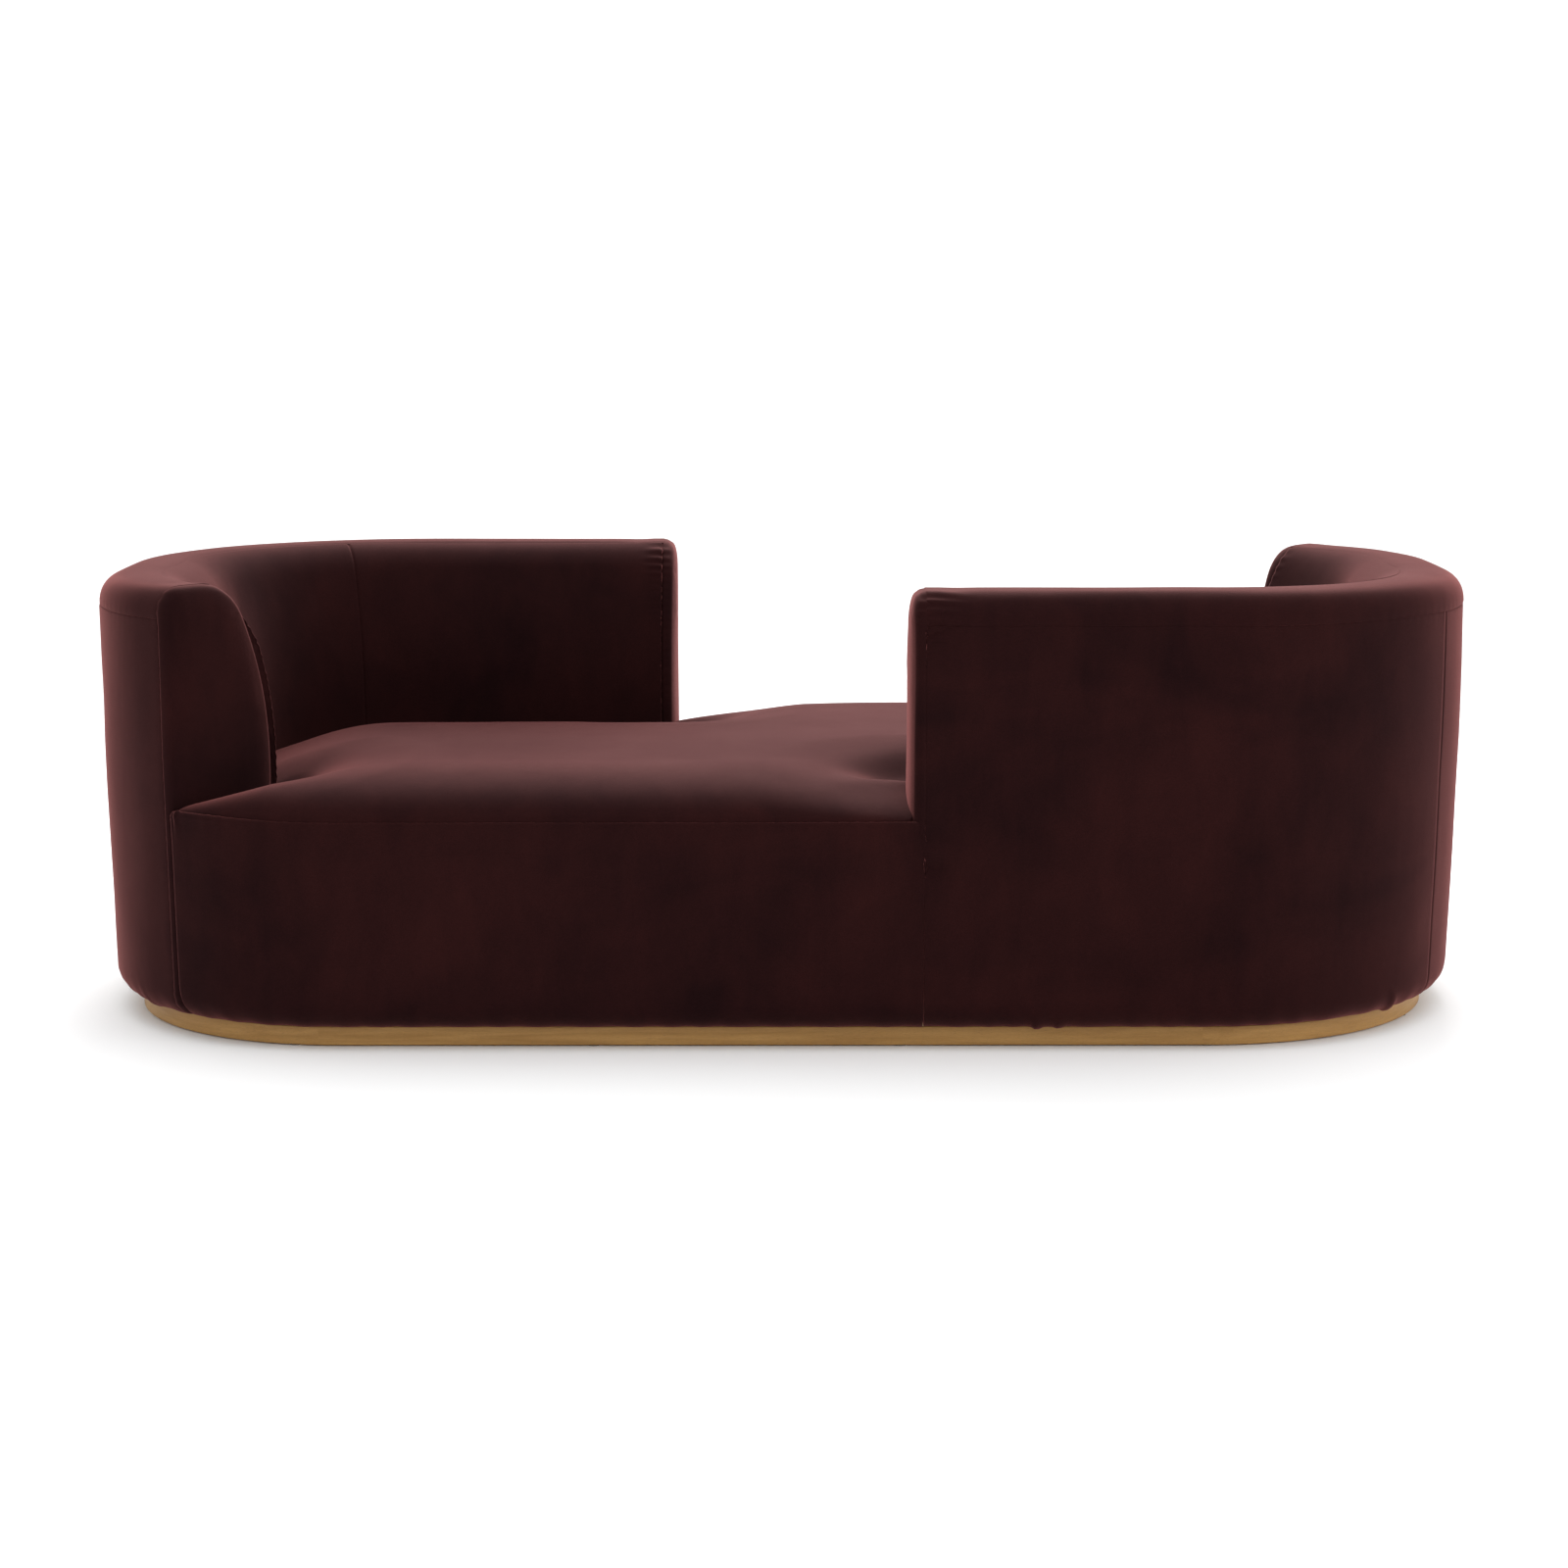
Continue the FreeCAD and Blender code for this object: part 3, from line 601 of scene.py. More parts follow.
def back_route():
    """Start, inward direction and legs of the left back, from its wing to its middle end."""
    s = shape()
    wing, back = corners()
    first = math.pi + s.wing_angle
    out = Vector((math.cos(first), math.sin(first)))
    legs = [bend(wing, s.wing_corner, math.degrees(s.wing_angle)),
            straight(back.y - wing.y, (0, 1)),
            bend(back, s.back_corner, 90),
            straight(MID_END - back.x, (1, 0))]
    return wing + out * s.wing_corner, -out, legs


def front_route(inside):
    """The open front, from the right back's middle end to the left back's wing."""
    s = shape()
    wing, _ = corners()
    first = s.panel_lap - MID_END
    legs = [straight(first - wing.x, (-1, 0)),
            bend(wing, s.wing_corner, 90 - math.degrees(s.wing_angle) - inside)]
    return Vector((first, -s.half_depth)), Vector((0, 1)), legs


FINE_ENOUGH = 12000            # faces past which a pad needs no more rounding


def rings_along(total, pitch, marks, joints):
    """Where the rings of a swept pad go: close together at its ends and at seams."""
    fine = (0.0015, 0.0045, 0.009, 0.016)
    places = {0.0, total, *joints}
    places |= {e for f in fine for e in (f, total - f)}
    places |= {m + d for m in marks for d in (-0.008, -0.0022, 0.0, 0.0022, 0.008)}
    count = round(total / pitch)
    for i in range(1, count):
        here = total * i / count
        if all(abs(here - p) > 0.5 * pitch for p in places):
            places.add(here)
    return sorted(places)


def swept(name, section, route, pitch=0.03, marks=()):
    """Sweep a closed section along a route, as a closed pad with a record of where it is."""
    start, inward, legs = route
    mesh = bmesh.new()
    along = mesh.verts.layers.float.new("along")
    ring = [mesh.verts.new((*(start + inward * u), z)) for u, z in section]
    for a, b in zip(ring, ring[1:] + ring[:1]):
        mesh.edges.new((a, b))
    joints = [sum(leg.run for leg in legs[:i]) for i in range(1, len(legs))]
    total = sum(leg.run for leg in legs)
    places = rings_along(total, pitch, marks, joints)
    geometry = ring + mesh.edges[:]
    ends = joints + [total]
    for here, there in zip(places, places[1:]):
        leg = legs[next(i for i, e in enumerate(ends) if there <= e + 1e-7)]
        bite = there - here
        made = bmesh.ops.spin(mesh, geom=geometry, cent=leg.centre, axis=(0, 0, -1),
                              dvec=leg.heading * bite,
                              angle=bite / leg.radius if leg.turn else 0.0,
                              steps=1, use_duplicate=False)
        geometry = made["geom_last"]
        for part in geometry:
            if isinstance(part, bmesh.types.BMVert):
                part[along] = there
    open_edges = [e for e in mesh.edges if e.is_boundary]
    bmesh.ops.edgeloop_fill(mesh, edges=open_edges)
    bmesh.ops.recalc_face_normals(mesh, faces=mesh.faces[:])
    return piece_from(name, mesh), total


def piece_from(name, mesh):
    data = bpy.data.meshes.new(name)
    mesh.to_mesh(data)
    mesh.free()
    data.shade_smooth()
    piece = bpy.data.objects.new(name, data)
    bpy.context.scene.collection.objects.link(piece)
    return piece


def kept(piece):
    """Replace a piece's mesh by what its modifiers make of it."""
    view = bpy.context.evaluated_depsgraph_get()
    data = bpy.data.meshes.new_from_object(piece.evaluated_get(view), depsgraph=view)
    old = piece.data
    piece.modifiers.clear()
    piece.data = data
    bpy.data.meshes.remove(old)
    data.name = piece.name
    data.shade_smooth()


def rounded(piece, keep=True):
    """Divide and round a piece once, either kept in its mesh or left live."""
    smooth = piece.modifiers.new("Rounding", "SUBSURF")
    smooth.levels = smooth.render_levels = 1
    if keep:
        kept(piece)


def points_of(piece):
    flat = np.empty(len(piece.data.vertices) * 3)
    piece.data.vertices.foreach_get("co", flat)
    return flat.reshape(-1, 3)


def normals_of(piece):
    flat = np.empty(len(piece.data.vertices) * 3)
    piece.data.vertices.foreach_get("normal", flat)
    return flat.reshape(-1, 3)


def measured(piece):
    """How far along its sweep each point of a pad is, the points, their normals and heights."""
    along = np.empty(len(piece.data.vertices))
    piece.data.attributes["along"].data.foreach_get("value", along)
    p = points_of(piece)
    return along, p, normals_of(piece), p[:, 2]


def put(piece, points):
    piece.data.vertices.foreach_set("co", points.reshape(-1))
    piece.data.update()


def mark(piece, values):
    """Record where the velvet is gathered, for its material."""
    piece.data.attributes.new("gather", "FLOAT", "POINT").data.foreach_set("value", values)


def step(value, low, high):
    """A smooth step from 0 at low to 1 at high."""
    t = np.clip((value - low) / (high - low), 0.0, 1.0)
    return t * t * (3 - 2 * t)


def near(distance, width):
    """1 at no distance, fading over a width."""
    return np.exp(-(distance / width) ** 2)


def waves(points, scale, seed):
    """Smooth noise at each point, from about -1 to 1."""
    shift = Vector((seed, 2.3 * seed, -seed))
    return np.array([noise.noise(Vector(p) * scale + shift) for p in points])


def ripples(place, pitch, wander, p, scale, seed):
    """Ripples of a pitch along a place, which wander so that no two are alike."""
    return np.sin(place * 2 * math.pi / pitch + wander * waves(p, scale, seed))


def swell(piece, held, pressure, most, frames=14):
    """Blow a pad up a little as cloth, held where it is sewn or glued, and keep the result.

    held is 1 where the cover can't move and 0 where it is free. most caps the movement.
    """
    scene = bpy.context.scene
    before = points_of(piece)
    pins = piece.vertex_groups.new(name="held")
    for i, weight in enumerate(held):
        if weight > 0.01:
            pins.add([i], float(weight), "REPLACE")
    sim = piece.modifiers.new("Cloth", "CLOTH")
    sim.settings.quality = 4
    sim.settings.mass = 0.3
    sim.settings.tension_stiffness = 25
    sim.settings.compression_stiffness = 25
    sim.settings.bending_stiffness = 2.0
    sim.settings.use_pressure = True
    sim.settings.uniform_pressure_force = pressure
    sim.settings.vertex_group_mass = "held"
    sim.settings.effector_weights.gravity = 0
    sim.collision_settings.use_collision = False
    sim.point_cache.frame_end = frames
    for number in range(1, frames + 1):
        scene.frame_set(number)
    kept(piece)
    scene.frame_set(1)
    piece.vertex_groups.clear()
    after = points_of(piece)
    move = after - before
    size = np.linalg.norm(move, axis=1, keepdims=True)
    size[~np.isfinite(size)] = 0.0
    move = np.nan_to_num(move)
    move *= most * np.tanh(size / most) / np.maximum(size, 1e-9)
    put(piece, before + move * (1 - np.asarray(held))[:, None])


def mirrored(piece, name):
    """The other back's piece: the same one turned half a turn."""
    data = piece.data.copy()
    data.name = name
    data.transform(Matrix.Rotation(math.pi, 4, "Z"))
    twin = bpy.data.objects.new(name, data)
    bpy.context.scene.collection.objects.link(twin)
    return twin


def dressed(piece, material, nodes=()):
    """Finish a piece: its material, its body and what it stands for."""
    piece.data.materials.clear()
    piece.data.materials.append(material)
    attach(piece, "root")
    if nodes:
        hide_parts(*nodes)


def both(piece, fill, *stems):
    """Dress a left back's pad and its twin on the right back."""
    twin = mirrored(piece, piece.name.replace("left_", "right_"))
    for one, side in ((piece, "left_"), (twin, "right_")):
        if len(one.data.polygons) < FINE_ENOUGH:
            rounded(one, keep=False)
        dressed(one, made_once("aubergine_velvet", velvet),
                [side + stem for stem in stems])


# ---------------------------------------------------------------- operators

class DAYBED_OT_outer_pads(bpy.types.Operator):
    """Make the padded outer sides of both backs"""
    bl_idname = "daybed.outer_pads"
    bl_label = "Outer pads"

    def execute(self, context):
        s = shape()
        route = back_route()
        seam = route[2][0].run + route[2][1].run + 0.56 * s.back_corner
        piece, total = swept("left_back_outer_velvet", outer_section(s.band_seam), route,
                             marks=(seam,))
        rounded(piece)
        along, p, n, z = measured(piece)
        faces_out = outward(p, n)
        free = step(z, 0.06, 0.20) * (1 - step(z, s.band_seam - 0.14, s.band_seam - 0.02))
        free *= step(along, 0.01, 0.10) * step(total - along, 0.01, 0.12)
        free *= step(np.abs(along - seam), 0.006, 0.06) * faces_out
        swell(piece, 1 - free, 2.0, 0.0045)
        rounded(piece)
        along, p, n, z = measured(piece)
        out = outward(p, n)
        low = s.plinth_top
        hem = 1 - step(z, low + 0.006, low + 0.05)
        move = 0.0006 * hem * ripples(along, 0.062, 4.0, p, 7.0, 3.0) * out
        pleat = np.zeros(len(p))
        for where, lean, size in ((total - 0.19, 0.25, 0.0050), (total - 0.225, -0.2, 0.0042),
                                  (total - 0.86, 0.5, 0.0046), (0.31, -0.35, 0.0040),
                                  (0.10, 0.3, 0.0032)):
            across = (along - where) - lean * (z - low)
            pleat += size * near(across, 0.0075) * (1 - step(z, low, low + 0.055))
        move += pleat * out
        move -= 0.0012 * near(along - seam, 0.0028) * out
        gathers = near(s.band_seam - z, 0.020) * out
        move += 0.0002 * gathers * ripples(along, 0.021, 3, p, 12.0, 9.0)
        top_end = near(total - along, 0.05) * near(s.band_seam - z, 0.05)
        move += 0.0022 * top_end * np.sin((z + 0.4 * along) * 2 * math.pi / 0.015) * out
        fold = near(total - along, 0.035) * near(z - 0.325, 0.03)
        move += 0.006 * fold * np.sin((z - 0.325 + 0.5 * (total - along)) * 95) * out
        move += 0.0016 * waves(p, 5.5, 1.0) * out * step(z, 0.08, 0.2) * step(along, 0.0, 0.07)
        put(piece, p + n * move[:, None])
        both(piece, 0.9, "back_outer_cover", "back_outer_foam")
        return {"FINISHED"}


def outward(p, n):
    """1 where a point of an outer pad faces out of the daybed, and 0 on its hidden back."""
    middle = np.clip(p[:, :2], [-0.70, -0.10], [0.70, 0.06])
    away = p[:, :2] - middle
    away /= np.maximum(np.linalg.norm(away, axis=1, keepdims=True), 1e-6)
    return step((away * n[:, :2]).sum(axis=1) + 0.2 * np.abs(n[:, 2]), 0.0, 0.3)


class DAYBED_OT_crest_bands(bpy.types.Operator):
    """Make the padded bands over the crests of both backs"""
    bl_idname = "daybed.crest_bands"
    bl_label = "Crest bands"

    def execute(self, context):
        s = shape()
        piece, total = swept("left_back_band_velvet", band_section(), back_route())
        rounded(piece)
        along, p, n, z = measured(piece)
        free = step(z, s.band_seam + 0.004, s.band_seam + 0.03)
        free *= step(n[:, 2], -0.1, 0.3)
        free *= step(along, 0.01, 0.08) * step(total - along, 0.01, 0.08)
        swell(piece, 1 - free, 1.5, 0.0025)
        rounded(piece)
        along, p, n, z = measured(piece)
        up = step(n[:, 2], -0.2, 0.3)
        seam = near(z - s.band_seam, 0.018)
        move = 0.0002 * seam * ripples(along, 0.024, 3, p, 11.0, 4.0)
        crumple = near(total - along, 0.05)
        move += 0.0014 * crumple * ripples(z, 0.014, 2, p, 15.0, 5.0)
        move += 0.0012 * waves(p, 6.0, 2.0) * up * step(along, 0.0, 0.07)
        put(piece, p + n * move[:, None])
        mark(piece, 0.4 * crumple)
        both(piece, 0.9, "back_band_cover", "back_top_foam")
        return {"FINISHED"}


class DAYBED_OT_inner_pads(bpy.types.Operator):
    """Make the padded inner faces of both backs"""
    bl_idname = "daybed.inner_pads"
    bl_label = "Inner pads"

    def execute(self, context):
        s = shape()
        route = back_route()
        seam = route[2][0].run + route[2][1].run + math.radians(70.3) * s.back_corner
        piece, total = swept("left_back_inner_velvet", inner_section(), route, marks=(seam,))
        rounded(piece)
        along, p, n, z = measured(piece)
        shows = 1 - outward(p, n)
        free = step(z, s.seat_meet, s.seat_meet + 0.12) * (1 - step(z, 0.70, 0.745)) * shows
        free *= step(along, 0.01, 0.09) * step(total - along, 0.01, 0.09)
        free *= step(np.abs(along - seam), 0.006, 0.07)
        swell(piece, 1 - free, 2.0, 0.005)
        rounded(piece)
        along, p, n, z = measured(piece)
        shows = 1 - outward(p, n)
        from_end = np.minimum(along, total - along)
        move = -0.003 * (1 - step(from_end, 0.0, 0.012)) ** 2 * shows
        move -= 0.0020 * near(along - seam, 0.0028) * shows
        strength = step(z, 0.42, 0.70) * 0.7 + 0.3
        ruches = near(total - along, 0.022) * strength
        move += 0.0019 * ruches * ripples(z, 0.0135, 2.4, p, 14.0, 7.0)
        ruches = near(along, 0.016)
        move += 0.0010 * ruches * ripples(z, 0.016, 2.4, p, 14.0, 8.0)
        move += 0.0018 * waves(p, 4.5, 6.0) * shows
        p += n * move[:, None]
        # the wing's inner pad is thicker than the rest of the back's
        depth = p[:, 0] + s.half_length
        into = np.zeros_like(p)
        into[:, 0] = 1.0
        wing = corners()[0]
        round_wing = p[:, 1] < wing.y
        to_centre = np.array(wing) - p[round_wing, :2]
        reach = np.linalg.norm(to_centre, axis=1)
        depth[round_wing] = s.wing_corner - reach
        into[round_wing, :2] = to_centre / reach[:, None]
        behind = 0.1055 + 0.205 * (0.702 - z)
        thicker = 0.022 * (1 - step(along, 0.02, 0.42)) * (1 - step(z, 0.64, 0.738))
        thicker *= np.clip((depth - behind) / 0.03, 0.0, 1.0)
        put(piece, p + into * thicker[:, None])
        mark(piece, 0.5 * near(total - along, 0.03))
        both(piece, 0.85, "back_inner_cover", "back_inner_foam")
        return {"FINISHED"}


def end_pad(name, outline, foot, inward, out, bulge):
    """A pillow over a back's end: drawn, raised in steps with insets, and puffed as cloth."""
    lap, proud = shape().end_lap, shape().end_proud
    mesh = bmesh.new()
    foot, inward = foot.to_3d() - out * lap, inward.to_3d()
    ring = [mesh.verts.new(foot + inward * (u + 0.7 * proud * over_side(u)) + UP * z)
            for u, z in outline]
    face = mesh.faces.new(ring)
    if face.normal.dot(out) < 0:
        face.normal_flip()
    mesh.normal_update()
    if face.normal.dot(out) < 0:
        bmesh.ops.reverse_faces(mesh, faces=[face])
    made = bmesh.ops.extrude_face_region(mesh, geom=[face], use_keep_orig=True)
    lifted = [part for part in made["geom"] if isinstance(part, bmesh.types.BMVert)]
    front = next(part for part in made["geom"] if isinstance(part, bmesh.types.BMFace))
    bmesh.ops.translate(mesh, verts=lifted, vec=out * (lap + 0.001))
    for v in lifted:
        v.co -= inward * (1.7 * proud * over_side((v.co - foot).dot(inward)))
    bmesh.ops.reverse_faces(mesh, faces=[face])
    rise = bulge - 0.001
    for inset, share in ((0.0012, 0.26), (0.0022, 0.24), (0.0035, 0.19), (0.0050, 0.13),
                         (0.0080, 0.10), (0.0120, 0.08)):
        bmesh.ops.inset_region(mesh, faces=[front], thickness=inset, depth=rise * share,
                               use_even_offset=True, use_boundary=True)
    low = min(v.co.z for v in front.verts)
    high = max(v.co.z for v in front.verts)
    count = round((high - low) / 0.028)
    for i in range(1, count):
        cut = [f for f in mesh.faces if f.normal.dot(out) > 0.98]
        parts = {e for f in cut for e in f.edges} | {v for f in cut for v in f.verts}
        bmesh.ops.bisect_plane(mesh, geom=[*cut, *parts], dist=1e-5,
                               plane_co=(0, 0, low + (high - low) * i / count), plane_no=UP)
    bmesh.ops.triangulate(mesh, faces=[f for f in mesh.faces if len(f.verts) > 4])
    bmesh.ops.join_triangles(mesh, faces=[f for f in mesh.faces if len(f.verts) == 3],
                             angle_face_threshold=0.6, angle_shape_threshold=0.9)
    bmesh.ops.recalc_face_normals(mesh, faces=mesh.faces[:])
    piece = piece_from(name, mesh)
    rounded(piece)
    p = points_of(piece)
    raised = (p - np.array(foot)) @ np.array(out) - lap
    swell(piece, 1 - step(raised, 0.45 * bulge, 0.95 * bulge), 3.0, 0.003)
    rounded(piece)
    return piece


def over_side(u):
    """1 on the outer side of an end's outline and 0 past its crest."""
    return float(1 - step(u, 0.03, 0.09))


class DAYBED_OT_wing_ends(bpy.types.Operator):
    """Make the padded ends of both wings"""
    bl_idname = "daybed.wing_ends"
    bl_label = "Wing ends"

    def execute(self, context):
        s = shape()
        start, inward, _ = back_route()
        out = Vector((inward.y, -inward.x, 0))
        outline = end_outline(hem_points())
        low = outline[0][1] + 0.002
        outline += [(s.back_foot, 0.39), (0.215, 0.35), (0.185, 0.30), (0.16, 0.24),
                    (0.145, 0.17), (0.14, 0.10), (0.138, low)]
        outline += line(outline[-1], (0.068, low), 3)
        outline = list(tucked(outline))
        piece = end_pad("left_wing_end_velvet", outline, start, inward, out, s.wing_bulge)
        p, n = points_of(piece), normals_of(piece)
        move = 0.0016 * waves(p, 6.0, 12.0) * step(n @ np.array(out), 0.4, 0.9)
        z = p[:, 2]
        edge = 1 - step(n @ np.array(out), 0.3, 0.85)
        move += 0.0003 * edge * ripples(z, 0.017, 2, p, 13.0, 2.0)
        put(piece, p + n * move[:, None])
        mark(piece, 0.3 * edge)
        both(piece, 0.85, "wing_end_cover", "wing_end_foam")
        return {"FINISHED"}


def tucked(outline):
    """Draw the inner side of an end's outline in, so that the inner pad stands past it."""
    s = shape()
    for u, z in outline:
        share = min(1.0, max(0.0, (u - s.crest_flat) / 0.05))
        yield u - 0.003 * share, z


class DAYBED_OT_middle_ends(bpy.types.Operator):
    """Make the padded ends of both backs at the middle of the seat"""
    bl_idname = "daybed.middle_ends"
    bl_label = "Middle ends"

    def execute(self, context):
        s = shape()
        foot, inward, out = Vector((MID_END, s.half_depth)), Vector((0, -1)), Vector((1, 0, 0))
        low = DECK + 0.004
        outline = end_outline([(side_at(low), low)])
        outline += [(s.back_foot, 0.38), (s.back_foot, low)]
        outline += line(outline[-1], (0.02, low), 6)
        piece = end_pad("left_mid_end_velvet", [(u - 0.005 * (u > 0.12), z) for u, z in outline],
                        foot, inward, out, s.mid_bulge)
        p, n = points_of(piece), normals_of(piece)
        front = step(n[:, 0], 0.3, 0.85)
        move = 0.0014 * waves(p, 6.0, 14.0) * front
        move += 0.0011 * (1 - front) * ripples(p[:, 2], 0.0135, 2.4, p, 14.0, 7.0)
        put(piece, p + n * move[:, None])
        mark(piece, 0.5 * (1 - front))
        both(piece, 0.85, "mid_end_cover", "mid_end_foam")
        return {"FINISHED"}


class DAYBED_OT_edge_panels(bpy.types.Operator):
    """Make the padded panels below the open front and rear of the seat"""
    bl_idname = "daybed.edge_panels"
    bl_label = "Edge panels"

    def execute(self, context):
        s = shape()
        inside = math.degrees(0.020 / s.wing_corner)
        piece, total = swept("front_panel_velvet", outer_section(s.seat_seam),
                             front_route(inside))
        rounded(piece)
        along, p, n, z = measured(piece)
        out = outward(p, n)
        free = step(z, 0.06, 0.16) * (1 - step(z, s.seat_seam - 0.09, s.seat_seam - 0.01)) * out
        free *= step(along, 0.01, 0.10) * step(total - along, 0.005, 0.07)
        swell(piece, 1 - free, 2.0, 0.004)
        rounded(piece)
        along, p, n, z = measured(piece)
        out = outward(p, n)
        low = s.plinth_top
        move = 0.005 * (1 - step(total - along, 0.0, 0.25)) * out * step(z, low, 0.10)
        move += 0.0014 * near(s.seat_seam - z, 0.005) * out
        hem = 1 - step(z, low + 0.006, low + 0.045)
        move += 0.0006 * hem * ripples(along, 0.068, 4, p, 7.0, 3.0) * out
        seam = near(s.seat_seam - z, 0.022) * out
        gathers = seam * (0.35 + 0.65 * near(total - along, 0.06))
        move += 0.0012 * gathers * ripples(along, 0.011, 2, p, 16.0, 5.0)
        fold = near(along, 0.03) * near(z - 0.33, 0.04)
        move += 0.004 * fold * np.sin((z - 0.33 + 0.6 * along) * 90) * out
        move += 0.0016 * waves(p, 5.0, 10.0) * out * step(z, 0.08, 0.2)
        put(piece, p + n * move[:, None])
        mark(piece, 0.3 * gathers)
        twin = mirrored(piece, "rear_panel_velvet")
        for one, side in ((piece, "front"), (twin, "rear")):
            dressed(one, made_once("aubergine_velvet", velvet),
                    [side + "_panel_cover", side + "_edge_foam"])
        return {"FINISHED"}


def seat_outline(mesh):
    """The seat's plan line as one closed loop, from a single point that is moved and spun.

    Gives the straight bits of the line by what they run along: open, back or wing.
    """
    s = shape()
    wing, back = corners()
    bits = {"open": [], "back": [], "wing": []}
    seam = 0.004
    start = mesh.verts.new((-MID_END - s.mid_bulge + 0.006, seam - s.half_depth, 0))
    here = start

    def walk(what, steps, vector=(0, 0, 0), centre=(0, 0), turn=0.0):
        nonlocal here
        for _ in range(steps):
            made = bmesh.ops.spin(mesh, geom=[here], cent=(*centre, 0), axis=(0, 0, -1),
                                  dvec=Vector(vector) / steps, angle=turn / steps, steps=1)
            there = next(v for v in made["geom_last"] if isinstance(v, bmesh.types.BMVert))
            a, b = here.co.xy, there.co.xy
            bits[what] += [(tuple(a), tuple(b)), (tuple(-a), tuple(-b))]
            here = there

    wing_gap = 0.020 / s.wing_corner
    walk("open", 44, (wing.x - start.co.x, 0, 0))
    walk("open", 13, centre=wing, turn=math.pi / 2 - s.wing_angle - wing_gap)
    inner = s.wing_corner - s.back_foot
    inner_gap = 0.020 / inner
    last = math.pi + s.wing_angle + inner_gap
    target = wing + Vector((math.cos(last), math.sin(last))) * inner
    walk("wing", 9, (target.x - here.co.x, target.y - here.co.y, 0))
    walk("back", 10, centre=wing, turn=s.wing_angle + inner_gap)
    walk("back", 6, (0, back.y - wing.y, 0))
    walk("back", 18, centre=back, turn=math.pi / 2)
    walk("back", 18, (-start.co.x - here.co.x, 0, 0))
    walk("back", 9, (0, -start.co.y - here.co.y, 0))
    twin = bmesh.ops.duplicate(mesh, geom=mesh.verts[:] + mesh.edges[:])
    turned = [v for v in twin["geom"] if isinstance(v, bmesh.types.BMVert)]
    bmesh.ops.rotate(mesh, verts=turned, cent=(0, 0, 0),
                     matrix=Matrix.Rotation(math.pi, 3, "Z"))
    bmesh.ops.remove_doubles(mesh, verts=mesh.verts[:], dist=1e-4)
    return bits


def distance_to(p, pairs):
    """Plan distance from each point to the nearest of some straight bits."""
    a = np.array([x for x, _ in pairs])[None]
    b = np.array([y for _, y in pairs])[None]
    ab = b - a
    t = ((p[:, None, :2] - a) * ab).sum(-1) / np.maximum((ab * ab).sum(-1), 1e-12)
    nearest = a + np.clip(t, 0, 1)[..., None] * ab
    return np.sqrt(((p[:, None, :2] - nearest) ** 2).sum(-1).min(axis=1))


def seat_height(p, bits):
    """The crowned top of the seat over the plan: high in the middle, low along the backs."""
    s = shape()
    from_open = distance_to(p, bits["open"])
    from_back = distance_to(p, bits["back"])
    from_wing = distance_to(p, bits["wing"])
    run = np.full(len(p), s.crown_run)
    for sign in (1, -1):
        beside = -MID_END - s.mid_bulge - sign * p[:, 0]
        run += 0.17 * near(beside, 0.18) * (sign * p[:, 1] < 0) * (beside > -0.01)
    t = np.clip(from_open / run, 0, 1)
    rise = np.sqrt(np.maximum(0, 1 - (1 - t) ** 2))
    dip = s.back_dip * np.clip(1 - from_back / 0.25, 0, 1) ** 1.3
    wing = s.wing_dip * np.clip(1 - from_wing / 0.16, 0, 1) ** 1.4
    lower = np.maximum(dip, wing) + 0.35 * np.minimum(dip, wing)
    lower += 0.030 * np.clip(1 - from_back / 0.20, 0, 1) ** 1.3 * step(np.abs(p[:, 0]), 0.66, 0.90)
    full = s.crown + 0.004 * step(from_open, s.crown_run, 0.45)
    top = s.seat_seam + (full - lower) * rise
    for sign in (1, -1):
        x, y = sign * p[:, 0], sign * p[:, 1]
        corner = Vector((-MID_END - s.mid_bulge, s.back_foot - s.half_depth))
        dx, dy = x - corner.x, y - corner.y
        away = np.hypot(dx, dy)
        tuck = near(dx * 0.75 + (dy - 0.055) * 0.66, 0.10)
        tuck *= near((dy - 0.055) * 0.75 - dx * 0.66, 0.050)
        top -= 0.027 * tuck * rise
        ridge = near(dx * 0.80 + (dy + 0.03) * 0.60, 0.13)
        ridge *= near((dy + 0.03) * 0.80 - dx * 0.60, 0.040)
        top += 0.008 * ridge * rise * step(away, 0.0, 0.05)
    return top


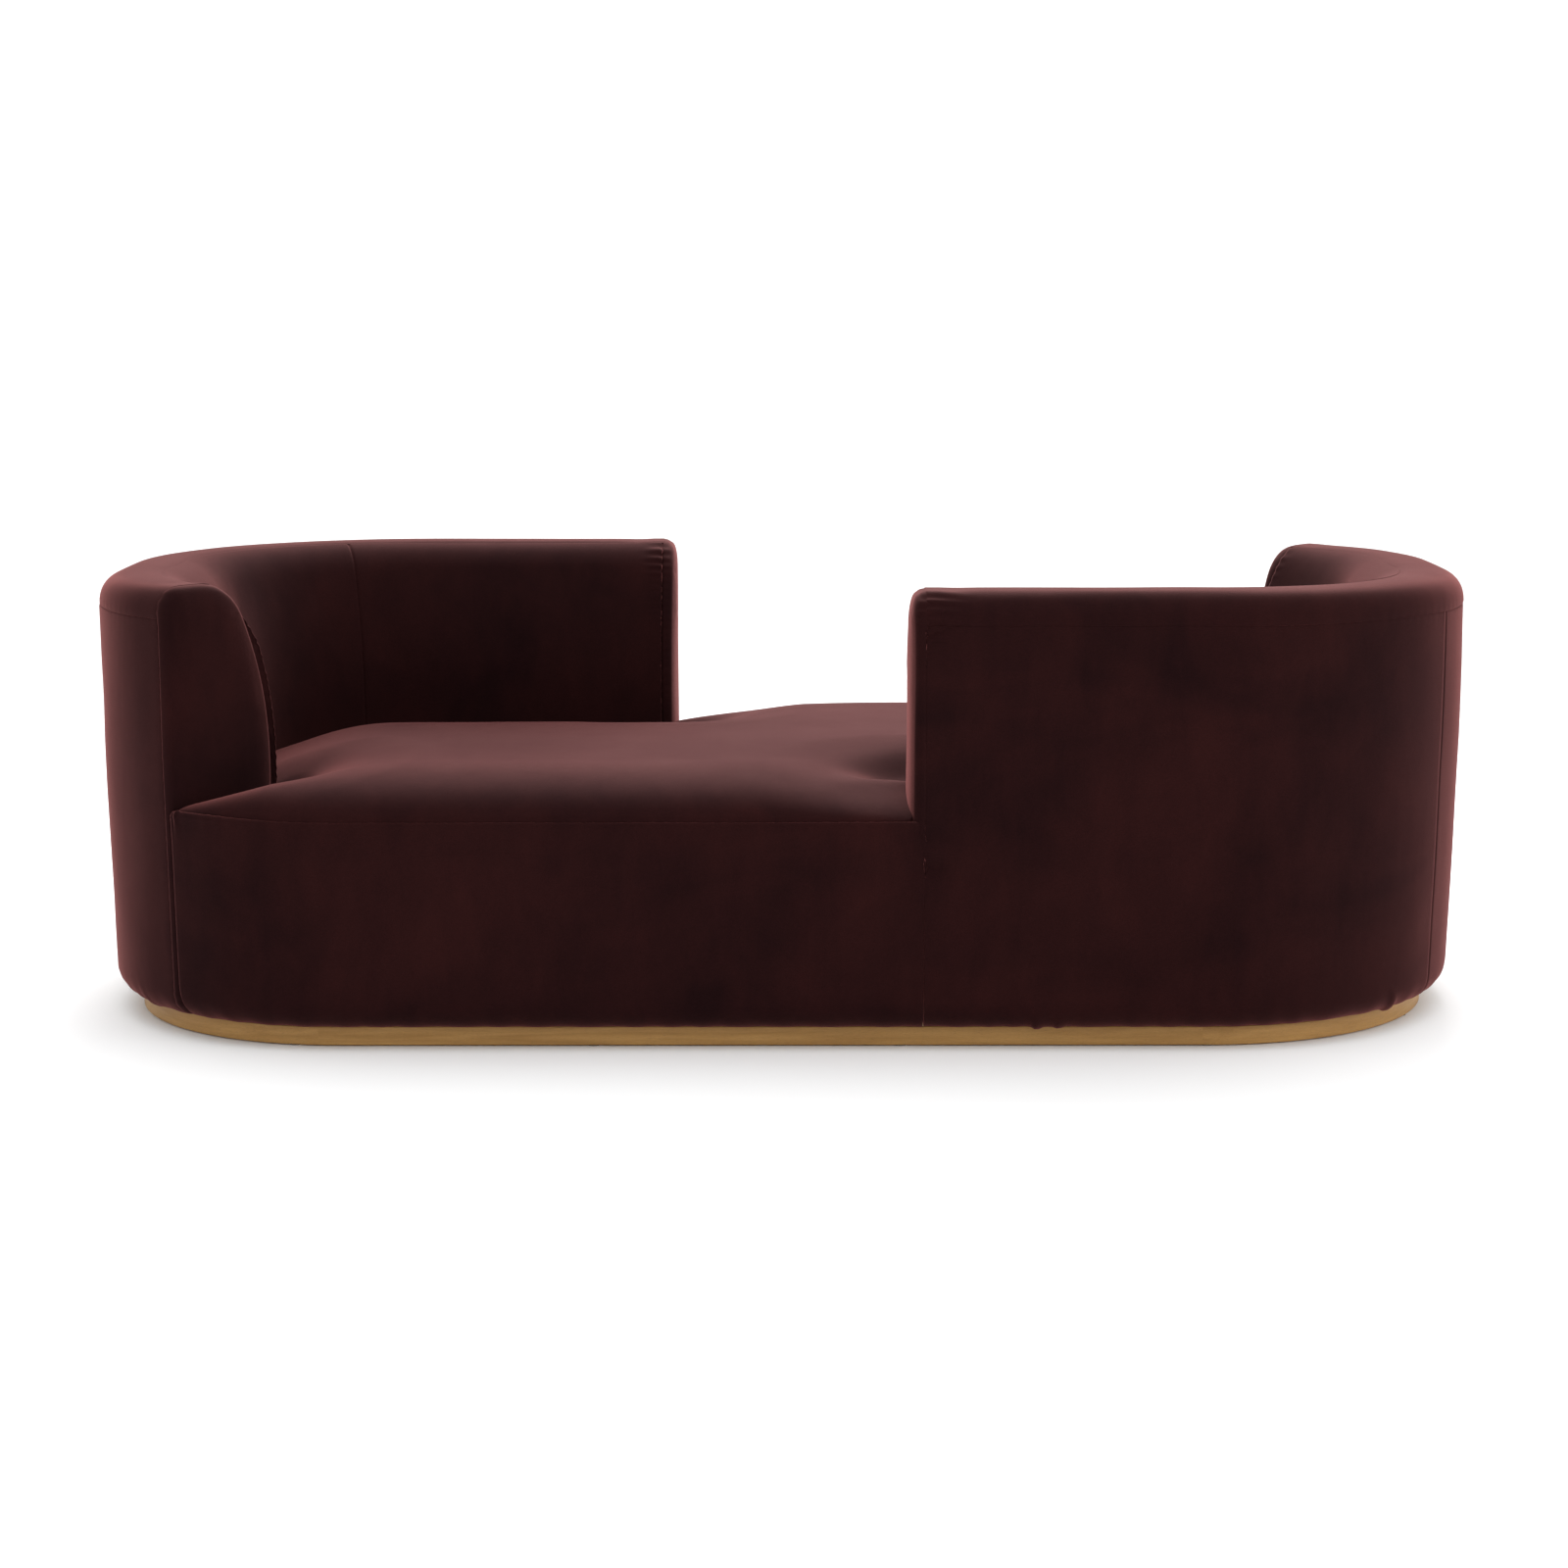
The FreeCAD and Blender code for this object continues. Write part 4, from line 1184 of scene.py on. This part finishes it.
class DAYBED_OT_seat(bpy.types.Operator):
    """Make the crowned seat pad between the two backs"""
    bl_idname = "daybed.seat"
    bl_label = "Seat"

    def execute(self, context):
        s = shape()
        mesh = bmesh.new()
        bits = seat_outline(mesh)
        bmesh.ops.edgeloop_fill(mesh, edges=mesh.edges[:])
        face = next(iter(mesh.faces))
        if face.normal.z < 0:
            bmesh.ops.reverse_faces(mesh, faces=[face])
        bottom = bmesh.ops.extrude_face_region(mesh, geom=[face], use_keep_orig=True)
        top = next(g for g in bottom["geom"] if isinstance(g, bmesh.types.BMFace))
        lifted = [g for g in bottom["geom"] if isinstance(g, bmesh.types.BMVert)]
        bmesh.ops.translate(mesh, verts=lifted, vec=UP * 0.05)
        bmesh.ops.reverse_faces(mesh, faces=[face])
        for inset in (0.0025, 0.0045, 0.007):
            bmesh.ops.inset_region(mesh, faces=[top], thickness=inset, depth=0.0,
                                   use_even_offset=True, use_boundary=True)
        inside = mesh.faces.layers.int.new("inside")
        for f in mesh.faces:
            f[inside] = int(len(f.verts) > 4 and f.normal.z > 0)
        for axis, reach in ((0, s.half_length), (1, s.half_depth)):
            count = round(2 * reach / 0.027)
            flat = [f for f in mesh.faces if f[inside]]
            for i in range(1, count):
                parts = {e for f in flat for e in f.edges} | {v for f in flat for v in f.verts}
                place, way = Vector((0, 0, 0)), Vector((0, 0, 0))
                place[axis] = -reach + 2 * reach * i / count
                way[axis] = 1.0
                cut = bmesh.ops.bisect_plane(mesh, geom=[*flat, *parts], dist=0.002,
                                             plane_co=place, plane_no=way)
                flat = [g for g in cut["geom"] if isinstance(g, bmesh.types.BMFace)
                        and g.calc_center_median()[axis] > place[axis]]
        bmesh.ops.recalc_face_normals(mesh, faces=mesh.faces[:])
        piece = piece_from("seat_velvet", mesh)
        p = points_of(piece)
        upper = p[:, 2] > 0.025
        p[:, 2] = np.where(upper, seat_height(p, bits), DECK + 0.002)
        put(piece, p)
        for blown in (False, True):
            rounded(piece)
            p = points_of(piece)
            rim = distance_to(p, sum(bits.values(), []))
            upper = (p[:, 2] > s.seat_seam - 0.001) & (rim > 0.002)
            p[upper, 2] = seat_height(p[upper], bits)
            put(piece, p)
            if not blown:
                swell(piece, 1 - step(rim, 0.012, 0.10) * upper, 1.2, 0.004)
        p, n = points_of(piece), normals_of(piece)
        put(piece, p + n * (0.0016 * waves(p, 4.0, 21.0) * upper)[:, None])
        dressed(piece, made_once("aubergine_velvet", velvet),
                ["seat_top_cover", "seat_wadding", "seat_foam_crown", "seat_foam_core"])
        return {"FINISHED"}


class DAYBED_OT_linings(bpy.types.Operator):
    """Give the dust cover under the frame and the felt over the springs their cloths"""
    bl_idname = "daybed.linings"
    bl_label = "Linings"

    def execute(self, context):
        paint("dust_cover", cloth("dust_cover_cloth", tuple(finish().lining), 900.0, 0.0003))
        paint("spring_insulator", cloth("spring_felt", tuple(finish().felt), 420.0, 0.0006))
        return {"FINISHED"}


class DAYBED_OT_wood(bpy.types.Operator):
    """Give the plinth and the frame their woods and boards"""
    bl_idname = "daybed.wood"
    bl_label = "Woods"

    def execute(self, context):
        for node, turned, curved in (("plinth_front_rail", False, False),
                                     ("plinth_rear_rail", True, False),
                                     ("plinth_left_end", False, True),
                                     ("plinth_right_end", True, True)):
            paint(node, plinth_wood(node + "_wood", turned, curved))
        for stem in ("base_ring", "base_cross_rails", "back_top_plate", "edge_cap_rails",
                     "spring_rail", "seat_stretchers"):
            painted(stem, made_once("plywood_flat", plywood, "plywood_flat", True))
        for stem in ("back_ribs", "edge_ribs"):
            painted(stem, made_once("plywood_upright", plywood, "plywood_upright", False))
        for stem in ("plinth_cross_braces", "plinth_joint_blocks", "stretcher_posts",
                     "plinth_dowels"):
            painted(stem, made_once("frame_hardwood", hardwood))
        for stem in ("inner_board", "outer_board", "edge_boards"):
            painted(stem, made_once("hardboard", hardboard))
        return {"FINISHED"}


def paint(node, material):
    piece = NODES[node]
    piece.data.materials.clear()
    piece.data.materials.append(material)


def painted(stem, material):
    """Paint every node whose name ends with a stem."""
    for node in NODES:
        if node.endswith(stem):
            paint(node, material)


class DAYBED_OT_springs(bpy.types.Operator):
    """Give the springs, screws and glides their metals and plastic"""
    bl_idname = "daybed.springs"
    bl_label = "Springs and fixings"

    def execute(self, context):
        tint = tuple(finish().steel)
        for stem in ("sinuous_springs", "spring_clips", "spring_tie_wires"):
            painted(stem, made_once("spring_steel", metal, "spring_steel", tint, 0.28, 0.45))
        for stem in ("rib_screws", "brace_screws"):
            painted(stem, made_once("screw_steel", metal, "screw_steel", (0.62, 0.58, 0.48),
                                    0.25, 0.42))
        painted("floor_glides", made_once("glide_plastic", glide_plastic))
        return {"FINISHED"}


class DAYBED_OT_studio(bpy.types.Operator):
    """Set up the pale floor, the soft lights and the camera"""
    bl_idname = "daybed.studio"
    bl_label = "Studio"

    def execute(self, context):
        scene = context.scene
        mesh = bmesh.new()
        bmesh.ops.create_grid(mesh, x_segments=2, y_segments=2, size=30)
        floor = piece_from("studio_floor", mesh)
        m = Material("studio_floor")
        floor.data.materials.append(m.surface((0.95, 0.95, 0.95, 1.0), 0.9,
                                              **{"Specular IOR Level": 0.1}))
        floor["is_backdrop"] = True
        scene.world = bpy.data.worlds.new("studio_air")
        scene.world.use_nodes = True
        air = Material.around(scene.world)
        _, y, z = air.parts(air.node("ShaderNodeTexCoord")["Generated"])
        rear = air.span(y, 0.50, 0.95, 0.0, 1.60)
        over = air.span(z, 0.08, 0.80, 0.0, 1.45)
        glow = rear + over + 0.16
        lit = air.node("ShaderNodeBackground", None, {"Color": (1, 1, 1, 1), "Strength": glow})
        air.node("ShaderNodeOutputWorld", None, {"Surface": lit["Background"]})
        for name, place, aim, size, power in (
                ("top_soft", (0.2, 2.2, 2.6), (0, 0.0, 0.4), (3.2, 1.6), 100),
                ("side_soft", (4.5, -1.9, 1.5), (0.3, -0.3, 0.4), (1.6, 2.0), 34)):
            data = bpy.data.lights.new(name, "AREA")
            data.shape = "RECTANGLE"
            data.size, data.size_y = size
            data.energy = power
            lamp = bpy.data.objects.new(name, data)
            lamp.location = place
            lamp.rotation_euler = (Vector(aim) - Vector(place)).to_track_quat("-Z", "Y").to_euler()
            scene.collection.objects.link(lamp)
        lens = bpy.data.cameras.new("studio_camera")
        lens.lens = 72.0
        lens.sensor_width = 36.0
        lens.clip_end = 100.0
        camera = bpy.data.objects.new("studio_camera", lens)
        camera.location = (-0.0106, -5.578, 1.276)
        camera.rotation_euler = (math.radians(80.70), 0, math.radians(-0.111))
        scene.collection.objects.link(camera)
        scene.camera = camera
        scene.view_settings.view_transform = "Standard"
        return {"FINISHED"}


class DAYBED_PT_maker(bpy.types.Panel):
    """Lists the daybed's sizes, finishes and steps"""
    bl_label = "Daybed"
    bl_idname = "DAYBED_PT_maker"
    bl_space_type = "VIEW_3D"
    bl_region_type = "UI"
    bl_category = "Daybed"

    def draw(self, context):
        for group in (context.scene.daybed_shape, context.scene.daybed_finish):
            box = self.layout.box()
            for name in group.bl_rna.properties.keys():
                if name not in ("rna_type", "name"):
                    box.prop(group, name)
        for step_class in OPERATORS:
            self.layout.operator(step_class.bl_idname)


OPERATORS = (DAYBED_OT_studio, DAYBED_OT_wood, DAYBED_OT_springs, DAYBED_OT_linings,
             DAYBED_OT_outer_pads, DAYBED_OT_crest_bands, DAYBED_OT_inner_pads,
             DAYBED_OT_wing_ends, DAYBED_OT_middle_ends, DAYBED_OT_edge_panels,
             DAYBED_OT_seat)
CLASSES = (DaybedShape, DaybedFinish, *OPERATORS, DAYBED_PT_maker)


def register():
    for one in CLASSES:
        bpy.utils.register_class(one)
    bpy.types.Scene.daybed_shape = bpy.props.PointerProperty(type=DaybedShape)
    bpy.types.Scene.daybed_finish = bpy.props.PointerProperty(type=DaybedFinish)


def unregister():
    del bpy.types.Scene.daybed_finish
    del bpy.types.Scene.daybed_shape
    for one in reversed(CLASSES):
        bpy.utils.unregister_class(one)


def main():
    register()
    for one in OPERATORS:
        group, call = one.bl_idname.split(".")
        getattr(getattr(bpy.ops, group), call)()


if __name__ == "__main__":
    main()
